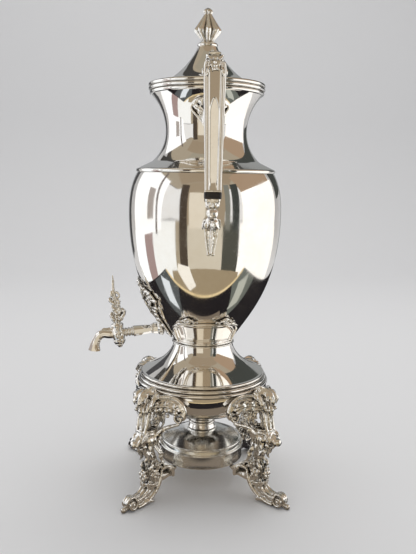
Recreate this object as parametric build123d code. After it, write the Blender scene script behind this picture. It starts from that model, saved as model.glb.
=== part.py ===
"""A silver-plated coffee urn on a four-legged stand with a spirit lamp.

A tall vase holds the coffee: a belly and a waisted neck of thin sheet, joined by mouldings, under a
lift-off lid with a bud finial. A trumpet pedestal carries it on a bowl-shaped drum with four cast legs.
A plug tap stands out of the lower belly, and two strap handles with insulators stand out at the sides.
The spirit lamp rests on ledges of the legs, below the open mouth of the drum.

Millimetres. The origin is on the floor, on the axis of the vase. +Z is up, the tap points along -Y,
and the handles stand out along +X and -X.
"""
from build123d import *
from math import cos, radians, sin, sqrt
import os

os.makedirs("parts", exist_ok=True)

# Sheet, castings and fits
wall = 1.0              # thickness of the raised sheet
relief = 1.6            # thickness of ornament that is soldered on the sheet
fit = 0.06              # radial gap between pieces that fit in each other
rest_gap = 0.3          # gap under a piece that lies loose on another
slack = 0.4             # gap round pieces that lift out by hand

# Stand: drum, base ring and pedestal
drum_mouth_height = 70.0    # floor to the lower edge of the drum
drum_height = 31.0
drum_radius = 63.0
drum_mouth_radius = 27.0    # the lamp's heat enters here
base_ring_height = 10.5
base_ring_overhang = 0.8    # how far the ring's lower reed stands over the drum
pedestal_height = 31.0
pedestal_foot_radius = 57.0
waist_ring_half = 1.5

# Vase
waist_radius = 28.3
belly_radius = 72.2
belly_rise = 122.5          # waist to the widest place
body_height = 160.0         # waist to the shoulder
floor_thickness = 1.2
shoulder_radius = 64.5
shoulder_ring_height = 4.0
ledge_rise = 6.3
neck_foot_radius = 50.5     # where the ledge turns up into the neck
throat_radius = 37.9
throat_rise = 33.5          # neck's foot to its narrowest place
neck_height = 67.0
mouth_radius = 51.0
rim_radius = 54.1
rim_height = 10.5
rim_width = 4.6             # from the lid's edge to the outside
rim_reeds = 3
seat_depth = 1.6            # the lid's edge sits this deep in the rim
seat_width = 3.5

# Lid and finial
lid_rise = 33.1
lid_tip_radius = 9.3
lid_flange = 3.1            # flat edge that lies on the rim's seat
bezel_depth = 11.0
finial_collar_height = 4.0
finial_collar_radius = 9.4
finial_height = 31.0
finial_radius = 12.6
finial_petals = 8
stud_radius = 2.0
nut_height = 3.0
nut_radius = 4.2

# Aprons under the handles and the shield behind the tap
apron_height = 24.5
apron_half_foot = 26.0
apron_half_top = 30.5
apron_lip = 2.4             # thickness of the rolled edge
apron_scroll_place = 17.5
shield_height = 57.0
shield_half = 31.0
shield_foot_rise = 1.0      # waist to the tail of the shield
boss_radius = 6.4

# Legs
leg_count = 4
leg_circle = 75.0           # radius of the circle on which the legs' columns stand
leg_unit = 8.6              # half the width of a column, which scales the whole casting
foot_reach = 108.0
ball_radius = 5.6
toe_radius = 3.6
sole_cut = 0.6              # the casting is filed flat by this much
ledge_reach = 37.5          # how near to the axis the lamp's ledges come
ledge_half = 6.2
scroll_circle = 66.0        # the side scrolls lie on this radius
scroll_turn = 27.5          # degrees from the leg's middle to where the scroll turns down
scroll_radius = 6.2
volute_radius = 3.5
volute_half = 2.4
leg_stud_drop = 11.0        # from the top of the drum to the leg's stud

# Spirit lamp
lamp_radius = 40.6
lamp_floor_height = 23.5
font_height = 12.0
lamp_bead = 0.9
lamp_step = 5.6             # height of the plain band under the dome
dome_radius = 36.4
dome_rise = 8.0
dome_neck_radius = 14.6
wick_tube_radius = 5.0
wick_tube_rise = 8.0        # above the dome
wick_radius = 3.8
cap_radius = 13.4
cap_height = 15.0
cap_wall = 1.0
cap_ribs = 3
cap_knob_radius = 3.0

# Handles
handle_reach = 88.0         # axis to the middle of the strap
handle_top_height = 390.0
strap_foot_height = 287.0
strap_thickness = 6.4
strap_half_top = 9.2
strap_half_foot = 6.8
flute_depth = 1.1
arm_foot_reach = 50.0       # where the handle's arm starts from the bracket
arm_foot_height = 352.0
arm_drop = 6.0              # strap's top to the arm's middle line
arm_thickness = 7.6
arm_half = 7.0
insulator_height = 5.4
insulator_overhang = 0.5
bracket_length = 9.0        # bracket's stem along the arm
bracket_half = 16.5
bracket_top_height = 367.0
bracket_foot_height = 341.0
rosette_radius = 6.3
handle_pin_radius = 1.4
handle_pin_depth = 4.0      # how deep a pin enters the silver on each side
handle_pin_offset = 3.4     # pins stand this far from the middle of the insulator
socket_height = 8.0
ball_of_handle_radius = 5.4
tail_length = 49.0          # insulator's foot to the tip of the tail
tail_tip_reach = 71.6

# Tap
tap_height = 153.0          # height of the tap's axis at its flange
tap_flange_reach = 44.0     # vase axis to the tap's flange
tap_droop = 8.0             # degrees that the tap slopes down
shank_radius = 3.4
shank_length = 13.0         # part of the tube behind the flange
tap_nut_radius = 5.6
tap_nut_length = 5.0
barrel_length = 19.0
barrel_root_radius = 3.9
barrel_tip_radius = 5.3
barrel_rings = 3
neck_radius = 4.0
port_radius = 2.2
cock_distance = 39.0        # flange to the plug's axis
cock_radius = 6.4
cock_half_height = 9.5
plug_top_radius = 4.3
plug_foot_radius = 3.5
washer_thickness = 1.2
screw_height = 3.2
spout_radius = 4.3
spout_bore_radius = 2.5
spout_mouth_radius = 6.1
spout_mouth_bore_radius = 5.1
spout_reach = 106.0
spout_mouth_height = 130.7
key_rise = 48.0             # cock body to the tip of the key
key_half = 7.0
strainer_length = 3.0       # how far the strainer stands past the tube
strainer_grip = 1.5         # how far it grips the tube
strainer_hole_radius = 0.6
strainer_holes = 6

# Levels and radii, worked out from the sizes above
drum_top = drum_mouth_height + drum_height
pedestal_foot = drum_top + base_ring_height
waist = pedestal_foot + pedestal_height
belly = waist + belly_rise
shoulder = waist + body_height
neck_foot = shoulder + shoulder_ring_height
throat = neck_foot + throat_rise
neck_top = neck_foot + neck_height
rim_top = neck_top + rim_height
lid_seat = rim_top - seat_depth - slack
rim_inner = rim_radius - rim_width
rim_step = rim_inner - seat_width
lid_radius = rim_inner - slack
lid_foot = lid_seat + rest_gap
lid_top = lid_foot + wall + lid_rise
finial_foot = lid_top + finial_collar_height
lamp_top = lamp_floor_height + font_height
dome_foot = lamp_top + lamp_bead * 2 + lamp_step
dome_top = dome_foot + dome_rise
bore = 2 * fit

low = (Align.CENTER, Align.CENTER, Align.MIN)
high = (Align.CENTER, Align.CENTER, Align.MAX)
solids = {}


def curve(start, end, lead, tail):
    """A smooth line from start to end. Lead and tail place its handles as shares of its span."""
    span = (end[0] - start[0], end[1] - start[1])
    handles = [(start[0] + share[0] * span[0], start[1] + share[1] * span[1]) for share in (lead, tail)]
    return Bezier(start, *handles, end)


def beside(lines, distance, steps=6):
    """A line at one distance to the left of a chain of lines."""
    points = []
    for line in lines:
        for i in range(steps + 1):
            at, along = line @ (i / steps), line % (i / steps)
            point = Vector(at.X - along.Y * distance, at.Y + along.X * distance)
            if not points or (point - points[-1]).length > abs(distance) / 2:
                points.append(point)
    return Spline(*points)


def turned(*lines):
    """The solid of revolution about Z of the closed outline that these lines make."""
    return revolve(Plane.XZ * make_face(Curve() + list(lines)), Axis.Z)


def turned_points(*points):
    return turned(Polyline(*points, close=True))


def layer(lines, inner, outer):
    """A turned layer between two distances from a chain of lines, outwards is positive."""
    inside = beside(lines, -inner) if inner else Curve() + list(lines)
    outside = beside(lines, -outer) if outer else Curve() + list(lines)
    ends = [Line(inside @ end, outside @ end) for end in (0, 1)]
    return turned(*inside.edges(), *outside.edges(), *ends)


def filled(lines):
    """Everything within a turned outline."""
    foot, top = lines[0] @ 0, lines[-1] @ 1
    return turned(*lines, Polyline((top.X, top.Y), (0, top.Y), (0, foot.Y), (foot.X, foot.Y)))


def between(shape, foot, top):
    """The part of a turned sheet between two heights."""
    return shape & Pos(0, 0, foot) * Cylinder(belly_radius * 2, top - foot, align=low)


def radius_at(line, height):
    """The radius of an outline at a height, found by halving."""
    start, end = 0.0, 1.0
    for _ in range(30):
        middle = (start + end) / 2
        if (line @ middle).Y < height:
            start = middle
        else:
            end = middle
    return (line @ start).X


def reed(radius, height, half):
    """A half-round moulding: a ring of round section."""
    return Pos(0, 0, height) * Torus(radius, half)


def limb(stations, width_axis=(0, 1, 0)):
    """A cast limb through (reach, height, half depth, half width) in the plane of X and Z."""
    sections = []
    for i, (reach, height, depth, width) in enumerate(stations):
        before, after = stations[max(i - 1, 0)], stations[min(i + 1, len(stations) - 1)]
        along = (after[0] - before[0], 0, after[1] - before[1])
        place = Plane(origin=(reach, 0, height), x_dir=width_axis, z_dir=along)
        sections.append(place * Ellipse(width, depth))
    return loft(sections)


def horn(points, radii):
    """A round tapering scroll or tube through points."""
    sections = []
    for i, point in enumerate(points):
        along = Vector(*points[min(i + 1, len(points) - 1)]) - Vector(*points[max(i - 1, 0)])
        sections.append(Plane(origin=point, z_dir=along) * Circle(radii[i]))
    return loft(sections)


def hexagon(radius, height):
    return extrude(RegularPolygon(radius, 6), height)


# Outlines that more than one piece follows, all from the bottom up
drum_line = curve((drum_mouth_radius, drum_mouth_height), (drum_radius, drum_top), (0.64, 0.12), (1, 0.545))
pedestal_line = curve((pedestal_foot_radius, pedestal_foot), (waist_radius, waist),
                      (0.592, 0.242), (0.976, 0.565))
belly_line = curve((waist_radius, waist), (belly_radius, belly), (0.223, 0.161), (1, 0.388))
shoulder_line = curve((belly_radius, belly), (shoulder_radius, shoulder), (0, 0.48), (0.377, 0.76))
ledge_line = Line((shoulder_radius - wall, neck_foot), (neck_foot_radius, neck_foot + ledge_rise))
neck_line = curve((neck_foot_radius, neck_foot + ledge_rise), (throat_radius, throat),
                  (0.556, 0.228), (1, 0.596))
flare_line = curve((throat_radius, throat), (mouth_radius, neck_top), (0, 0.377), (0.349, 0.725))
inside_belly = filled([belly_line, shoulder_line])
inside_neck = filled([ledge_line, neck_line, flare_line])
inside_drum = filled([drum_line])

# The tap's frames: z of the first runs out along the tap, z of the second stands up along the plug
slope = radians(tap_droop)
tap_frame = Plane(origin=(0, -tap_flange_reach, tap_height), x_dir=(1, 0, 0),
                  z_dir=(0, -cos(slope), -sin(slope)))
plug_centre = tap_frame.from_local_coords((0, 0, cock_distance))
cock_frame = Plane(origin=plug_centre, x_dir=(1, 0, 0), z_dir=(0, -sin(slope), cos(slope)))


def along_tap(radius, start, end, end_radius=None):
    """A round or tapering bar on the tap's axis, between two distances from the flange."""
    ends = [Pos(0, 0, start) * Circle(radius), Pos(0, 0, end) * Circle(end_radius or radius)]
    return tap_frame * loft(ends)


# Vase: belly with its floor, shoulder moulding, neck and reeded rim
belly_floor = (Pos(0, 0, waist) * Cylinder(waist_radius, floor_thickness, align=low)) & inside_belly
body = layer([belly_line, shoulder_line], -wall, 0) + belly_floor
solids["body_shell"] = body - along_tap(shank_radius + fit, -shank_length - wall, 0)

ring_inner = shoulder_radius - 3.5 * wall
ring_middle = (shoulder + neck_foot) / 2
solids["shoulder_ring"] = turned_points(
    (ring_inner, shoulder), (shoulder_radius, shoulder), (shoulder_radius, neck_foot), (ring_inner, neck_foot)
) + reed(shoulder_radius - shoulder_ring_height / 4, ring_middle, shoulder_ring_height / 2)

neck = layer([ledge_line, neck_line, flare_line], -wall, 0)
solids["neck_shell"] = between(neck, neck_foot, neck_top)

reed_half = rim_height / rim_reeds / 2
rim_core = rim_radius - reed_half
rim = turned_points(
    (rim_step, neck_top), (rim_core, neck_top), (rim_core, rim_top), (rim_inner, rim_top),
    (rim_inner, lid_seat), (rim_step, lid_seat)
)
for i in range(rim_reeds):
    inset = wall if i == 0 else 0
    rim += reed(rim_core - inset, neck_top + reed_half * (2 * i + 1), reed_half)
solids["rim_ring"] = rim

# Stand: trumpet pedestal with a ring at the waist, reeded base ring, and the drum with its open mouth
solids["pedestal"] = between(layer([pedestal_line], -wall, 0), pedestal_foot, waist)
waist_ring_foot = waist - waist_ring_half * 2
waist_ring_bore = radius_at(pedestal_line, waist_ring_foot) + fit
waist_ring_edge = waist_ring_bore + waist_ring_half / 2
solids["waist_ring"] = turned_points(
    (waist_ring_bore, waist_ring_foot), (waist_ring_edge, waist_ring_foot),
    (waist_ring_bore + waist_ring_half, waist - waist_ring_half), (waist_ring_edge, waist),
    (waist_ring_bore, waist)
)

ring_outer = drum_radius + base_ring_overhang
ring_bore = pedestal_foot_radius - 6 * wall
reeds = [(0, 0.17, 1.0), (1.7, 0.5, 0.9), (3.6, 0.86, 0.78)]     # inset, share of the height, share of a reed
base_reed = base_ring_height / 6
base = turned_points(
    (ring_bore, drum_top), (ring_outer - base_reed, drum_top),
    (ring_outer - base_reed, drum_top + base_reed * 2),
    (ring_outer - base_reed * 3, drum_top + base_reed * 4), (ring_outer - base_reed * 3, pedestal_foot),
    (ring_bore, pedestal_foot)
)
for inset, share, size in reeds:
    base += reed(ring_outer - inset - base_reed * size, drum_top + share * base_ring_height, base_reed * size)
solids["base_ring"] = base

stud_height = drum_top - leg_stud_drop
nut_place = radius_at(drum_line, stud_height - nut_radius) - 1.5 * wall
stud_start = nut_place - nut_height - wall
leg_turns = [360 / leg_count * (i + 0.5) for i in range(leg_count)]
drum = layer([drum_line], -wall, 0)
for turn in leg_turns:
    hole = Cylinder(stud_radius + bore, drum_radius * 2, align=low)
    drum -= Rot(0, 0, turn) * Pos(0, 0, stud_height) * Rot(0, 90, 0) * hole
solids["stand_drum"] = drum

# Aprons: plain shields that wrap the foot of the belly, with a rolled lip and two scrolls on top
apron_top = waist + apron_height
corner = apron_height / 3


def apron_face(inset):
    """The apron as seen from the handle's side, drawn in by the inset."""
    foot, side, top = apron_half_foot - inset, apron_half_top - inset, apron_top - inset
    half = [Line((0, waist + bore), (foot, waist + bore)), Line((foot, waist + bore), (side, top - corner)),
            Line((side - corner, top), (0, top))]
    half.insert(2, TangentArc((side, top - corner), (side - corner, top), tangent=(0, 1)))
    edges = half + [mirror(line, Plane.YZ) for line in half]
    return make_face(edges)


def apron():
    plate = layer([belly_line], bore, relief) & extrude(Plane.YZ * apron_face(0), belly_radius)
    lip = layer([belly_line], bore, apron_lip) & extrude(Plane.YZ * apron_face(0), belly_radius)
    lip -= extrude(Plane.YZ * apron_face(apron_lip), belly_radius)
    above_foot = Pos(0, 0, waist + apron_height / 3) * Cylinder(belly_radius, apron_height, align=low)
    return plate + (lip & above_foot)


def apron_scroll(side):
    """A pair of curls that stands on the lip."""
    reach = sqrt((waist_radius + apron_height * 0.82) ** 2 - apron_scroll_place ** 2)
    place = Pos(reach, side * apron_scroll_place, apron_top + volute_half / 2)
    curls = [place * Pos(0, step, 0) * Rot(0, 75, 0) * Torus(volute_half, volute_half * 0.55)
             for step in (-volute_radius, volute_radius)]
    return place * Sphere(volute_half) + curls


for name, turn in (("apron_right", 0), ("apron_left", 180)):
    whole = apron() + [apron_scroll(side) for side in (-1, 1)] - inside_belly
    solids[name] = Rot(0, 0, turn) * whole

# Shield behind the tap: an openwork casting that hugs the belly and carries the tap's boss
shield_foot = waist + shield_foot_rise


def shield_point(across, up):
    """A point of the shield's outline, as shares of its half width and its height."""
    return (across * shield_half, shield_foot + up * shield_height)


def shield_face():
    side = [(0, 1.0), (0.38, 0.97), (0.55, 0.88), (0.93, 0.85), (1.0, 0.72), (0.84, 0.6), (0.5, 0.5),
            (0.36, 0.38), (0.3, 0.24), (0.17, 0.08), (0, 0)]
    right = Spline(*[shield_point(*point) for point in side])
    face = make_face([right, mirror(right, Plane.YZ)])
    holes = [(0.24, 0.82, 0.13, 0.075), (0.68, 0.73, 0.16, 0.07), (0.32, 0.64, 0.15, 0.075)]
    for across, up, half_width, half_height in holes:
        for mirrored in (-1, 1):
            hole = Ellipse(half_width * shield_half, half_height * shield_height)
            face -= Pos(*shield_point(mirrored * across, up)) * hole
    return face


shield = layer([belly_line], bore, relief * 1.5) & extrude(Plane.XZ * shield_face(), belly_radius)
shield += along_tap(boss_radius, -shank_length, 0, tap_nut_radius) - inside_belly
solids["tap_shield"] = shield - along_tap(shank_radius + fit, -shank_length - wall, wall)

# Lid: a hollow cone with a flat edge, a bezel that keeps it central, and a bud finial on a stud
lid_shoulder = lid_radius - lid_flange
cone_line = curve((lid_shoulder, lid_foot + wall), (lid_tip_radius, lid_top), (0.41, 0.065), (0.891, 0.677))
cone = layer([cone_line], -wall, 0)
cap_plate = Pos(0, 0, lid_top) * Cylinder(lid_tip_radius, wall, align=high)
flange = turned_points(
    (lid_shoulder - wall, lid_foot), (lid_radius, lid_foot), (lid_radius, lid_foot + wall),
    (lid_shoulder - wall, lid_foot + wall)
)
lid = cone + (cap_plate & filled([cone_line])) + flange
solids["lid"] = lid - Pos(0, 0, lid_top) * Cylinder(stud_radius + fit, wall * 6)

bezel_radius = rim_step - slack
solids["lid_bezel"] = turned_points(
    (bezel_radius - wall, lid_foot - bezel_depth), (bezel_radius, lid_foot - bezel_depth),
    (bezel_radius, lid_foot), (bezel_radius - wall, lid_foot)
)

half_collar = finial_collar_height / 2
collar = turned_points((0, lid_top), (finial_collar_radius - half_collar, lid_top),
                       (finial_collar_radius - half_collar, finial_foot), (0, finial_foot))
collar += reed(finial_collar_radius - half_collar, lid_top + half_collar, half_collar)
solids["finial_collar"] = collar - Pos(0, 0, lid_top) * Cylinder(stud_radius + fit, finial_collar_height * 3)


def finial_point(share_out, share_up):
    return (share_out * finial_radius, finial_foot + share_up * finial_height)


def lobed(radius):
    """A round with petals round it, as a cross-section."""
    arcs = []
    step = radians(180 / finial_petals)
    for i in range(finial_petals):
        start, middle, end = (2 * i * step, (2 * i + 1) * step, (2 * i + 2) * step)
        valley, crest = radius * 0.84, radius
        arcs.append(ThreePointArc((valley * cos(start), valley * sin(start)),
                                  (crest * cos(middle), crest * sin(middle)),
                                  (valley * cos(end), valley * sin(end))))
    return make_face(arcs)


profile = [(0.7, 0), (0.55, 0.06), (0.66, 0.13), (0.93, 0.24), (1.0, 0.35), (0.82, 0.5), (0.56, 0.66),
           (0.33, 0.8)]
sections = []
for share_out, share_up in profile:
    radius, height = finial_point(share_out, share_up)
    sections.append(Pos(0, 0, height) * lobed(radius))
finial = loft(sections)
tip_radius, tip_height = finial_point(0.33, 0.8)
finial += Pos(0, 0, tip_height - wall) * Cylinder(tip_radius * 0.7, finial_height * 0.15, align=low)
finial += Pos(0, 0, finial_foot + finial_height * 0.93) * Sphere(finial_height * 0.07)
finial += reed(tip_radius * 0.7, tip_height + finial_height * 0.03, finial_height * 0.03)
stud_foot = lid_top - wall - nut_height - wall
stud = Cylinder(stud_radius, finial_foot - stud_foot + wall, align=low)
solids["finial"] = finial + Pos(0, 0, stud_foot) * stud
lid_nut = Pos(0, 0, lid_top - wall) * Rot(180, 0, 0) * hexagon(nut_radius, nut_height)
solids["finial_nut"] = lid_nut - Pos(0, 0, stud_foot) * Cylinder(stud_radius + fit, finial_foot, align=low)

# Legs: four castings, each with a column, a curled head, two side scrolls, a ledge for the lamp and a foot
lamp_space = Pos(0, 0, lamp_floor_height - rest_gap) \
    * Cylinder(lamp_radius + lamp_bead + slack, drum_height, align=low)


def cast(stations, start=leg_circle):
    """A limb whose stations are offsets from the column, shares of the drum's height and leg units."""
    return limb([(start + out * leg_unit, up * drum_top, depth * leg_unit, width * leg_unit)
                 for out, up, depth, width in stations])


def on_scroll(angle, share, out=0.0):
    """A point beside the drum, at an angle from the leg's middle and a share of the drum's height."""
    radius = scroll_circle + out
    return (radius * cos(radians(angle)), radius * sin(radians(angle)), share * drum_top)


def side_scroll(side):
    """A ram's horn that runs round the drum, turns down and ends in a volute."""
    path = [(0.1, 0.945, leg_unit), (0.4, 0.965, leg_unit / 6), (0.72, 0.955, 0), (0.93, 0.915, 0),
            (1.0, 0.86, 0), (0.95, 0.815, 0)]
    sizes = [1.0, 1.06, 1.0, 0.84, 0.68, 0.52]
    points = [on_scroll(side * share * scroll_turn, up, out) for share, up, out in path]
    scroll = horn(points, [size * scroll_radius for size in sizes])
    centre = on_scroll(side * scroll_turn * 0.84, 0.825)
    place = Pos(*centre) * Rot(0, 0, side * scroll_turn * 0.84) * Rot(0, 90, 0)
    return scroll + place * Torus(volute_radius, volute_half) + place * Sphere(volute_half)


def leg():
    column = cast([(-0.2, 0.97, 0.8, 0.9), (-0.1, 0.89, 0.95, 0.9), (0, 0.77, 1.26, 1.0),
                   (0, 0.67, 1.4, 1.02), (0.42, 0.58, 1.55, 0.88), (0.06, 0.5, 1.22, 0.77),
                   (-0.6, 0.41, 0.93, 0.7), (-0.5, 0.28, 1.4, 0.92), (-0.5, 0.18, 1.05, 0.76), (-0.1, 0.1, 0.7, 0.62),
                   (0.6, 0.065, 0.4, 0.4)])
    head = cast([(-0.9, 0.965, 0.75, 0.9), (-0.2, 1.04, 0.8, 1.0), (0.75, 1.06, 0.75, 1.0),
                 (1.35, 0.99, 0.6, 0.8), (1.3, 0.93, 0.3, 0.4)])
    ankle, toe_reach = leg_circle + leg_unit / 3, foot_reach - toe_radius
    ball_reach = toe_reach - ball_radius * 1.1
    foot = limb([(ankle - leg_unit, 1.4 * leg_unit, leg_unit / 2, leg_unit / 2),
                 (ankle, leg_unit * 0.95, leg_unit * 0.6, leg_unit * 0.62),
                 ((ankle + ball_reach) / 2, ball_radius - sole_cut, 0.86 * ball_radius, 0.93 * ball_radius),
                 (ball_reach, 1.1 * ball_radius, 1.15 * ball_radius, 1.07 * ball_radius),
                 (toe_reach, toe_radius, 1.05 * toe_radius, 1.2 * toe_radius)])
    toe = Pos(toe_reach, 0, toe_radius - sole_cut) * Sphere(toe_radius)
    knee = Pos(leg_circle + 1.8 * leg_unit, 0, 0.6 * drum_top) * Sphere(0.62 * leg_unit)
    rosette = Pos(leg_circle + 0.75 * leg_unit, 0, 0.255 * drum_top) * Sphere(leg_unit / 2)
    ledge_foot = lamp_floor_height - ledge_half / 2
    under_lamp = lamp_radius + ledge_half
    ledge = limb([(leg_circle - leg_unit, ledge_foot, ledge_half, ledge_half),
                  (under_lamp, ledge_foot - ledge_half * 0.1, ledge_half * 0.8, ledge_half * 0.9),
                  (ledge_reach, ledge_foot + ledge_half * 0.2, ledge_half / 4, ledge_half / 2)])
    leaf = Pos(under_lamp - ledge_half * 0.3, 0, ledge_foot + ledge_half * 0.75) * Sphere(ledge_half * 0.8)
    whole = column + [foot, ledge, head, side_scroll(1), side_scroll(-1), leaf, rosette, knee, toe]
    whole -= inside_drum
    whole -= Pos(0, 0, drum_top) * Cylinder(ring_outer + fit, base_ring_height * 2, align=low)
    whole -= lamp_space
    whole -= Box(foot_reach * 4, foot_reach * 4, foot_reach, align=high)
    stud = Cylinder(stud_radius, leg_circle - stud_start, align=low)
    return whole + Pos(stud_start, 0, stud_height) * Rot(0, 90, 0) * stud


whole_leg = leg()
names = ("leg_back_right", "leg_back_left", "leg_front_left", "leg_front_right")
for name, turn in zip(names, leg_turns):
    solids[name] = Rot(0, 0, turn) * whole_leg

nuts = []
for turn in leg_turns:
    nut = hexagon(nut_radius, nut_height) - Cylinder(stud_radius + fit, nut_height * 3)
    nuts.append(Rot(0, 0, turn) * Pos(nut_place, 0, stud_height) * Rot(0, -90, 0) * nut)
solids["leg_nuts"] = Compound(children=nuts)

# Spirit lamp: a cup, a domed cover with a seat, a tube with its wick, and a cap that puts the flame out
seat_top = dome_top + lamp_bead
font = turned_points(
    (0, lamp_floor_height), (lamp_radius, lamp_floor_height), (lamp_radius, lamp_top),
    (lamp_radius - wall, lamp_top), (lamp_radius - wall, lamp_floor_height + wall),
    (0, lamp_floor_height + wall)
)
solids["lamp_font"] = font

cover_ring = turned_points(
    (dome_radius - wall * 2, lamp_top), (lamp_radius, lamp_top), (lamp_radius, lamp_top + lamp_bead * 2),
    (lamp_radius - lamp_bead, lamp_top + lamp_bead * 2), (lamp_radius - lamp_bead, dome_foot),
    (dome_radius - wall * 2, dome_foot)
) + reed(lamp_radius, lamp_top + lamp_bead, lamp_bead) \
  + reed(lamp_radius - lamp_bead * 2, dome_foot - lamp_bead, lamp_bead * 1.5)
dome_line = curve((dome_radius, dome_foot), (dome_neck_radius, dome_top), (0.3, 0.42), (0.62, 0.93))
neck_plate = Pos(0, 0, dome_top) * Cylinder(dome_neck_radius, wall, align=high) & filled([dome_line])
cover = cover_ring + layer([dome_line], -wall, 0) + neck_plate
cover += turned_points((cap_radius - 2 * cap_wall, dome_top - wall), (dome_neck_radius, dome_top - wall),
                       (dome_neck_radius, seat_top), (cap_radius - 2 * cap_wall, seat_top))
solids["lamp_cover"] = cover - Pos(0, 0, dome_top) * Cylinder(wick_tube_radius + fit, drum_height)

tube_top = dome_top + wick_tube_rise
tube_foot = dome_top - wick_tube_rise
tube = Pos(0, 0, tube_foot) * Cylinder(wick_tube_radius, tube_top - tube_foot, align=low)
tube += Pos(0, 0, dome_top) * Cylinder(wick_tube_radius + 2 * wall, wall, align=low)
solids["wick_tube"] = tube - Pos(0, 0, tube_foot) * Cylinder(wick_radius + fit, drum_height, align=low)
wick_foot = lamp_floor_height + 2 * wall
wick_top = tube_top + wick_radius / 2
solids["wick"] = Pos(0, 0, wick_foot) * Cylinder(wick_radius, wick_top - wick_foot, align=low)

cap_foot = seat_top + rest_gap
cap_top = cap_foot + cap_height
cap_inner = cap_radius - 2 * cap_wall
cap = turned_points(
    (cap_inner, cap_foot), (cap_radius - cap_wall, cap_foot), (cap_radius - cap_wall, cap_top - cap_wall),
    (cap_radius - 2 * cap_wall, cap_top), (0, cap_top), (0, cap_top - cap_wall),
    (cap_inner, cap_top - cap_wall)
)
rib_pitch = (cap_height - cap_wall) / cap_ribs
for i in range(cap_ribs):
    cap += reed(cap_radius - cap_wall, cap_foot + rib_pitch * (i + 0.5), cap_wall)
knob = Pos(0, 0, cap_top + cap_knob_radius / 2) * Sphere(cap_knob_radius)
below_cap = Pos(0, 0, cap_top - cap_wall) * Box(cap_radius, cap_radius, cap_radius, align=high)
solids["snuffer_cap"] = cap + (knob - below_cap)

# Handles: a bracket on the neck, a strap between two insulators, and a tail that lies on the belly
arm_start = Vector(arm_foot_reach, 0, arm_foot_height)
arm_end = Vector(handle_reach, 0, handle_top_height - arm_drop)
arm_way = (arm_end - arm_start).normalized()
arm_length = (arm_end - arm_start).length
arm_frame = Plane(origin=arm_start, x_dir=(0, 1, 0), z_dir=arm_way)
strap_way = Plane(origin=(handle_reach, 0, strap_foot_height), x_dir=(0, 1, 0), z_dir=(0, 0, -1))
insulator_foot = strap_foot_height - insulator_height


def block(frame, thickness, half, start, end):
    """A bar of rectangular section along a frame's z."""
    return frame * Pos(0, 0, start) * Box(2 * half, thickness, end - start, align=low)


def pins(frame, start, end, radius):
    """Two pins beside each other along a frame's z."""
    pair = [frame * Pos(side * handle_pin_offset, 0, start) * Cylinder(radius, end - start, align=low)
            for side in (-1, 1)]
    return pair


upper_pins = (bracket_length - handle_pin_depth, bracket_length + insulator_height + handle_pin_depth)
lower_pins = (-handle_pin_depth, insulator_height + handle_pin_depth)
all_pins = pins(arm_frame, *upper_pins, handle_pin_radius) + pins(strap_way, *lower_pins, handle_pin_radius)
hole_radius = handle_pin_radius + fit
pin_holes = pins(arm_frame, *upper_pins, hole_radius) + pins(strap_way, *lower_pins, hole_radius)


def strap():
    """The grip: an arm, a corner with its rosette, and a fluted strap that tapers downwards."""
    half = strap_thickness / 2
    outline = Polyline((-strap_half_foot, strap_foot_height), (strap_half_foot, strap_foot_height),
                       (strap_half_top, handle_top_height), (-strap_half_top, handle_top_height), close=True)
    grip = extrude(Plane.YZ * Pos(0, 0, handle_reach - half) * make_face(outline), strap_thickness)
    flute = outline_flute()
    grip -= flute
    arm = block(arm_frame, arm_thickness, arm_half, bracket_length + insulator_height, arm_length)
    rosette = Torus(rosette_radius * 0.6, rosette_radius * 0.4) + Sphere(rosette_radius * 0.5)
    grip += [arm, Pos(handle_reach + half, 0, handle_top_height) * Rot(0, 90, 0) * rosette]
    knob_place = strap_half_top - flute_depth
    for side in (-1, 1):
        grip += Pos(handle_reach, side * knob_place, handle_top_height) * Sphere(half * 0.9)
    return grip


def outline_flute():
    """The hollow down the middle of the strap's outer face."""
    width = strap_half_foot * 0.55
    length = handle_top_height - strap_foot_height - rosette_radius - width * 2
    slot = Box(flute_depth * 2, width * 2, length, align=low)
    return Pos(handle_reach + strap_thickness / 2, 0, strap_foot_height + width * 2) * slot


def bracket():
    """A leaf on the neck with a stem that meets the upper insulator."""
    height = bracket_top_height - bracket_foot_height
    side = [(0, 1.0), (0.45, 0.96), (0.8, 0.86), (1.0, 0.68), (0.72, 0.5), (0.42, 0.28), (0.16, 0.08), (0, 0)]
    right = Spline(*[(across * bracket_half, bracket_foot_height + up * height) for across, up in side])
    face = make_face([right, mirror(right, Plane.YZ)])
    leaf = layer([neck_line, flare_line], bore, relief * 1.5) & extrude(Plane.YZ * face, belly_radius)
    root_height = bracket_foot_height + height * 0.18
    root_reach = radius_at(flare_line, root_height) - relief
    stem = limb([(root_reach, root_height, arm_thickness * 1.25, arm_half * 1.29),
                 (arm_foot_reach - relief, arm_foot_height - relief, arm_thickness * 0.79, arm_half * 1.14),
                 tuple_of(arm_start + arm_way * bracket_length * 0.5, arm_thickness / 2, arm_half)])
    collar = block(arm_frame, arm_thickness, arm_half, bracket_length * 0.4, bracket_length)
    return leaf + stem + collar - inside_neck


def tuple_of(point, depth, width):
    return (point.X, point.Z, depth, width)


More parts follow.
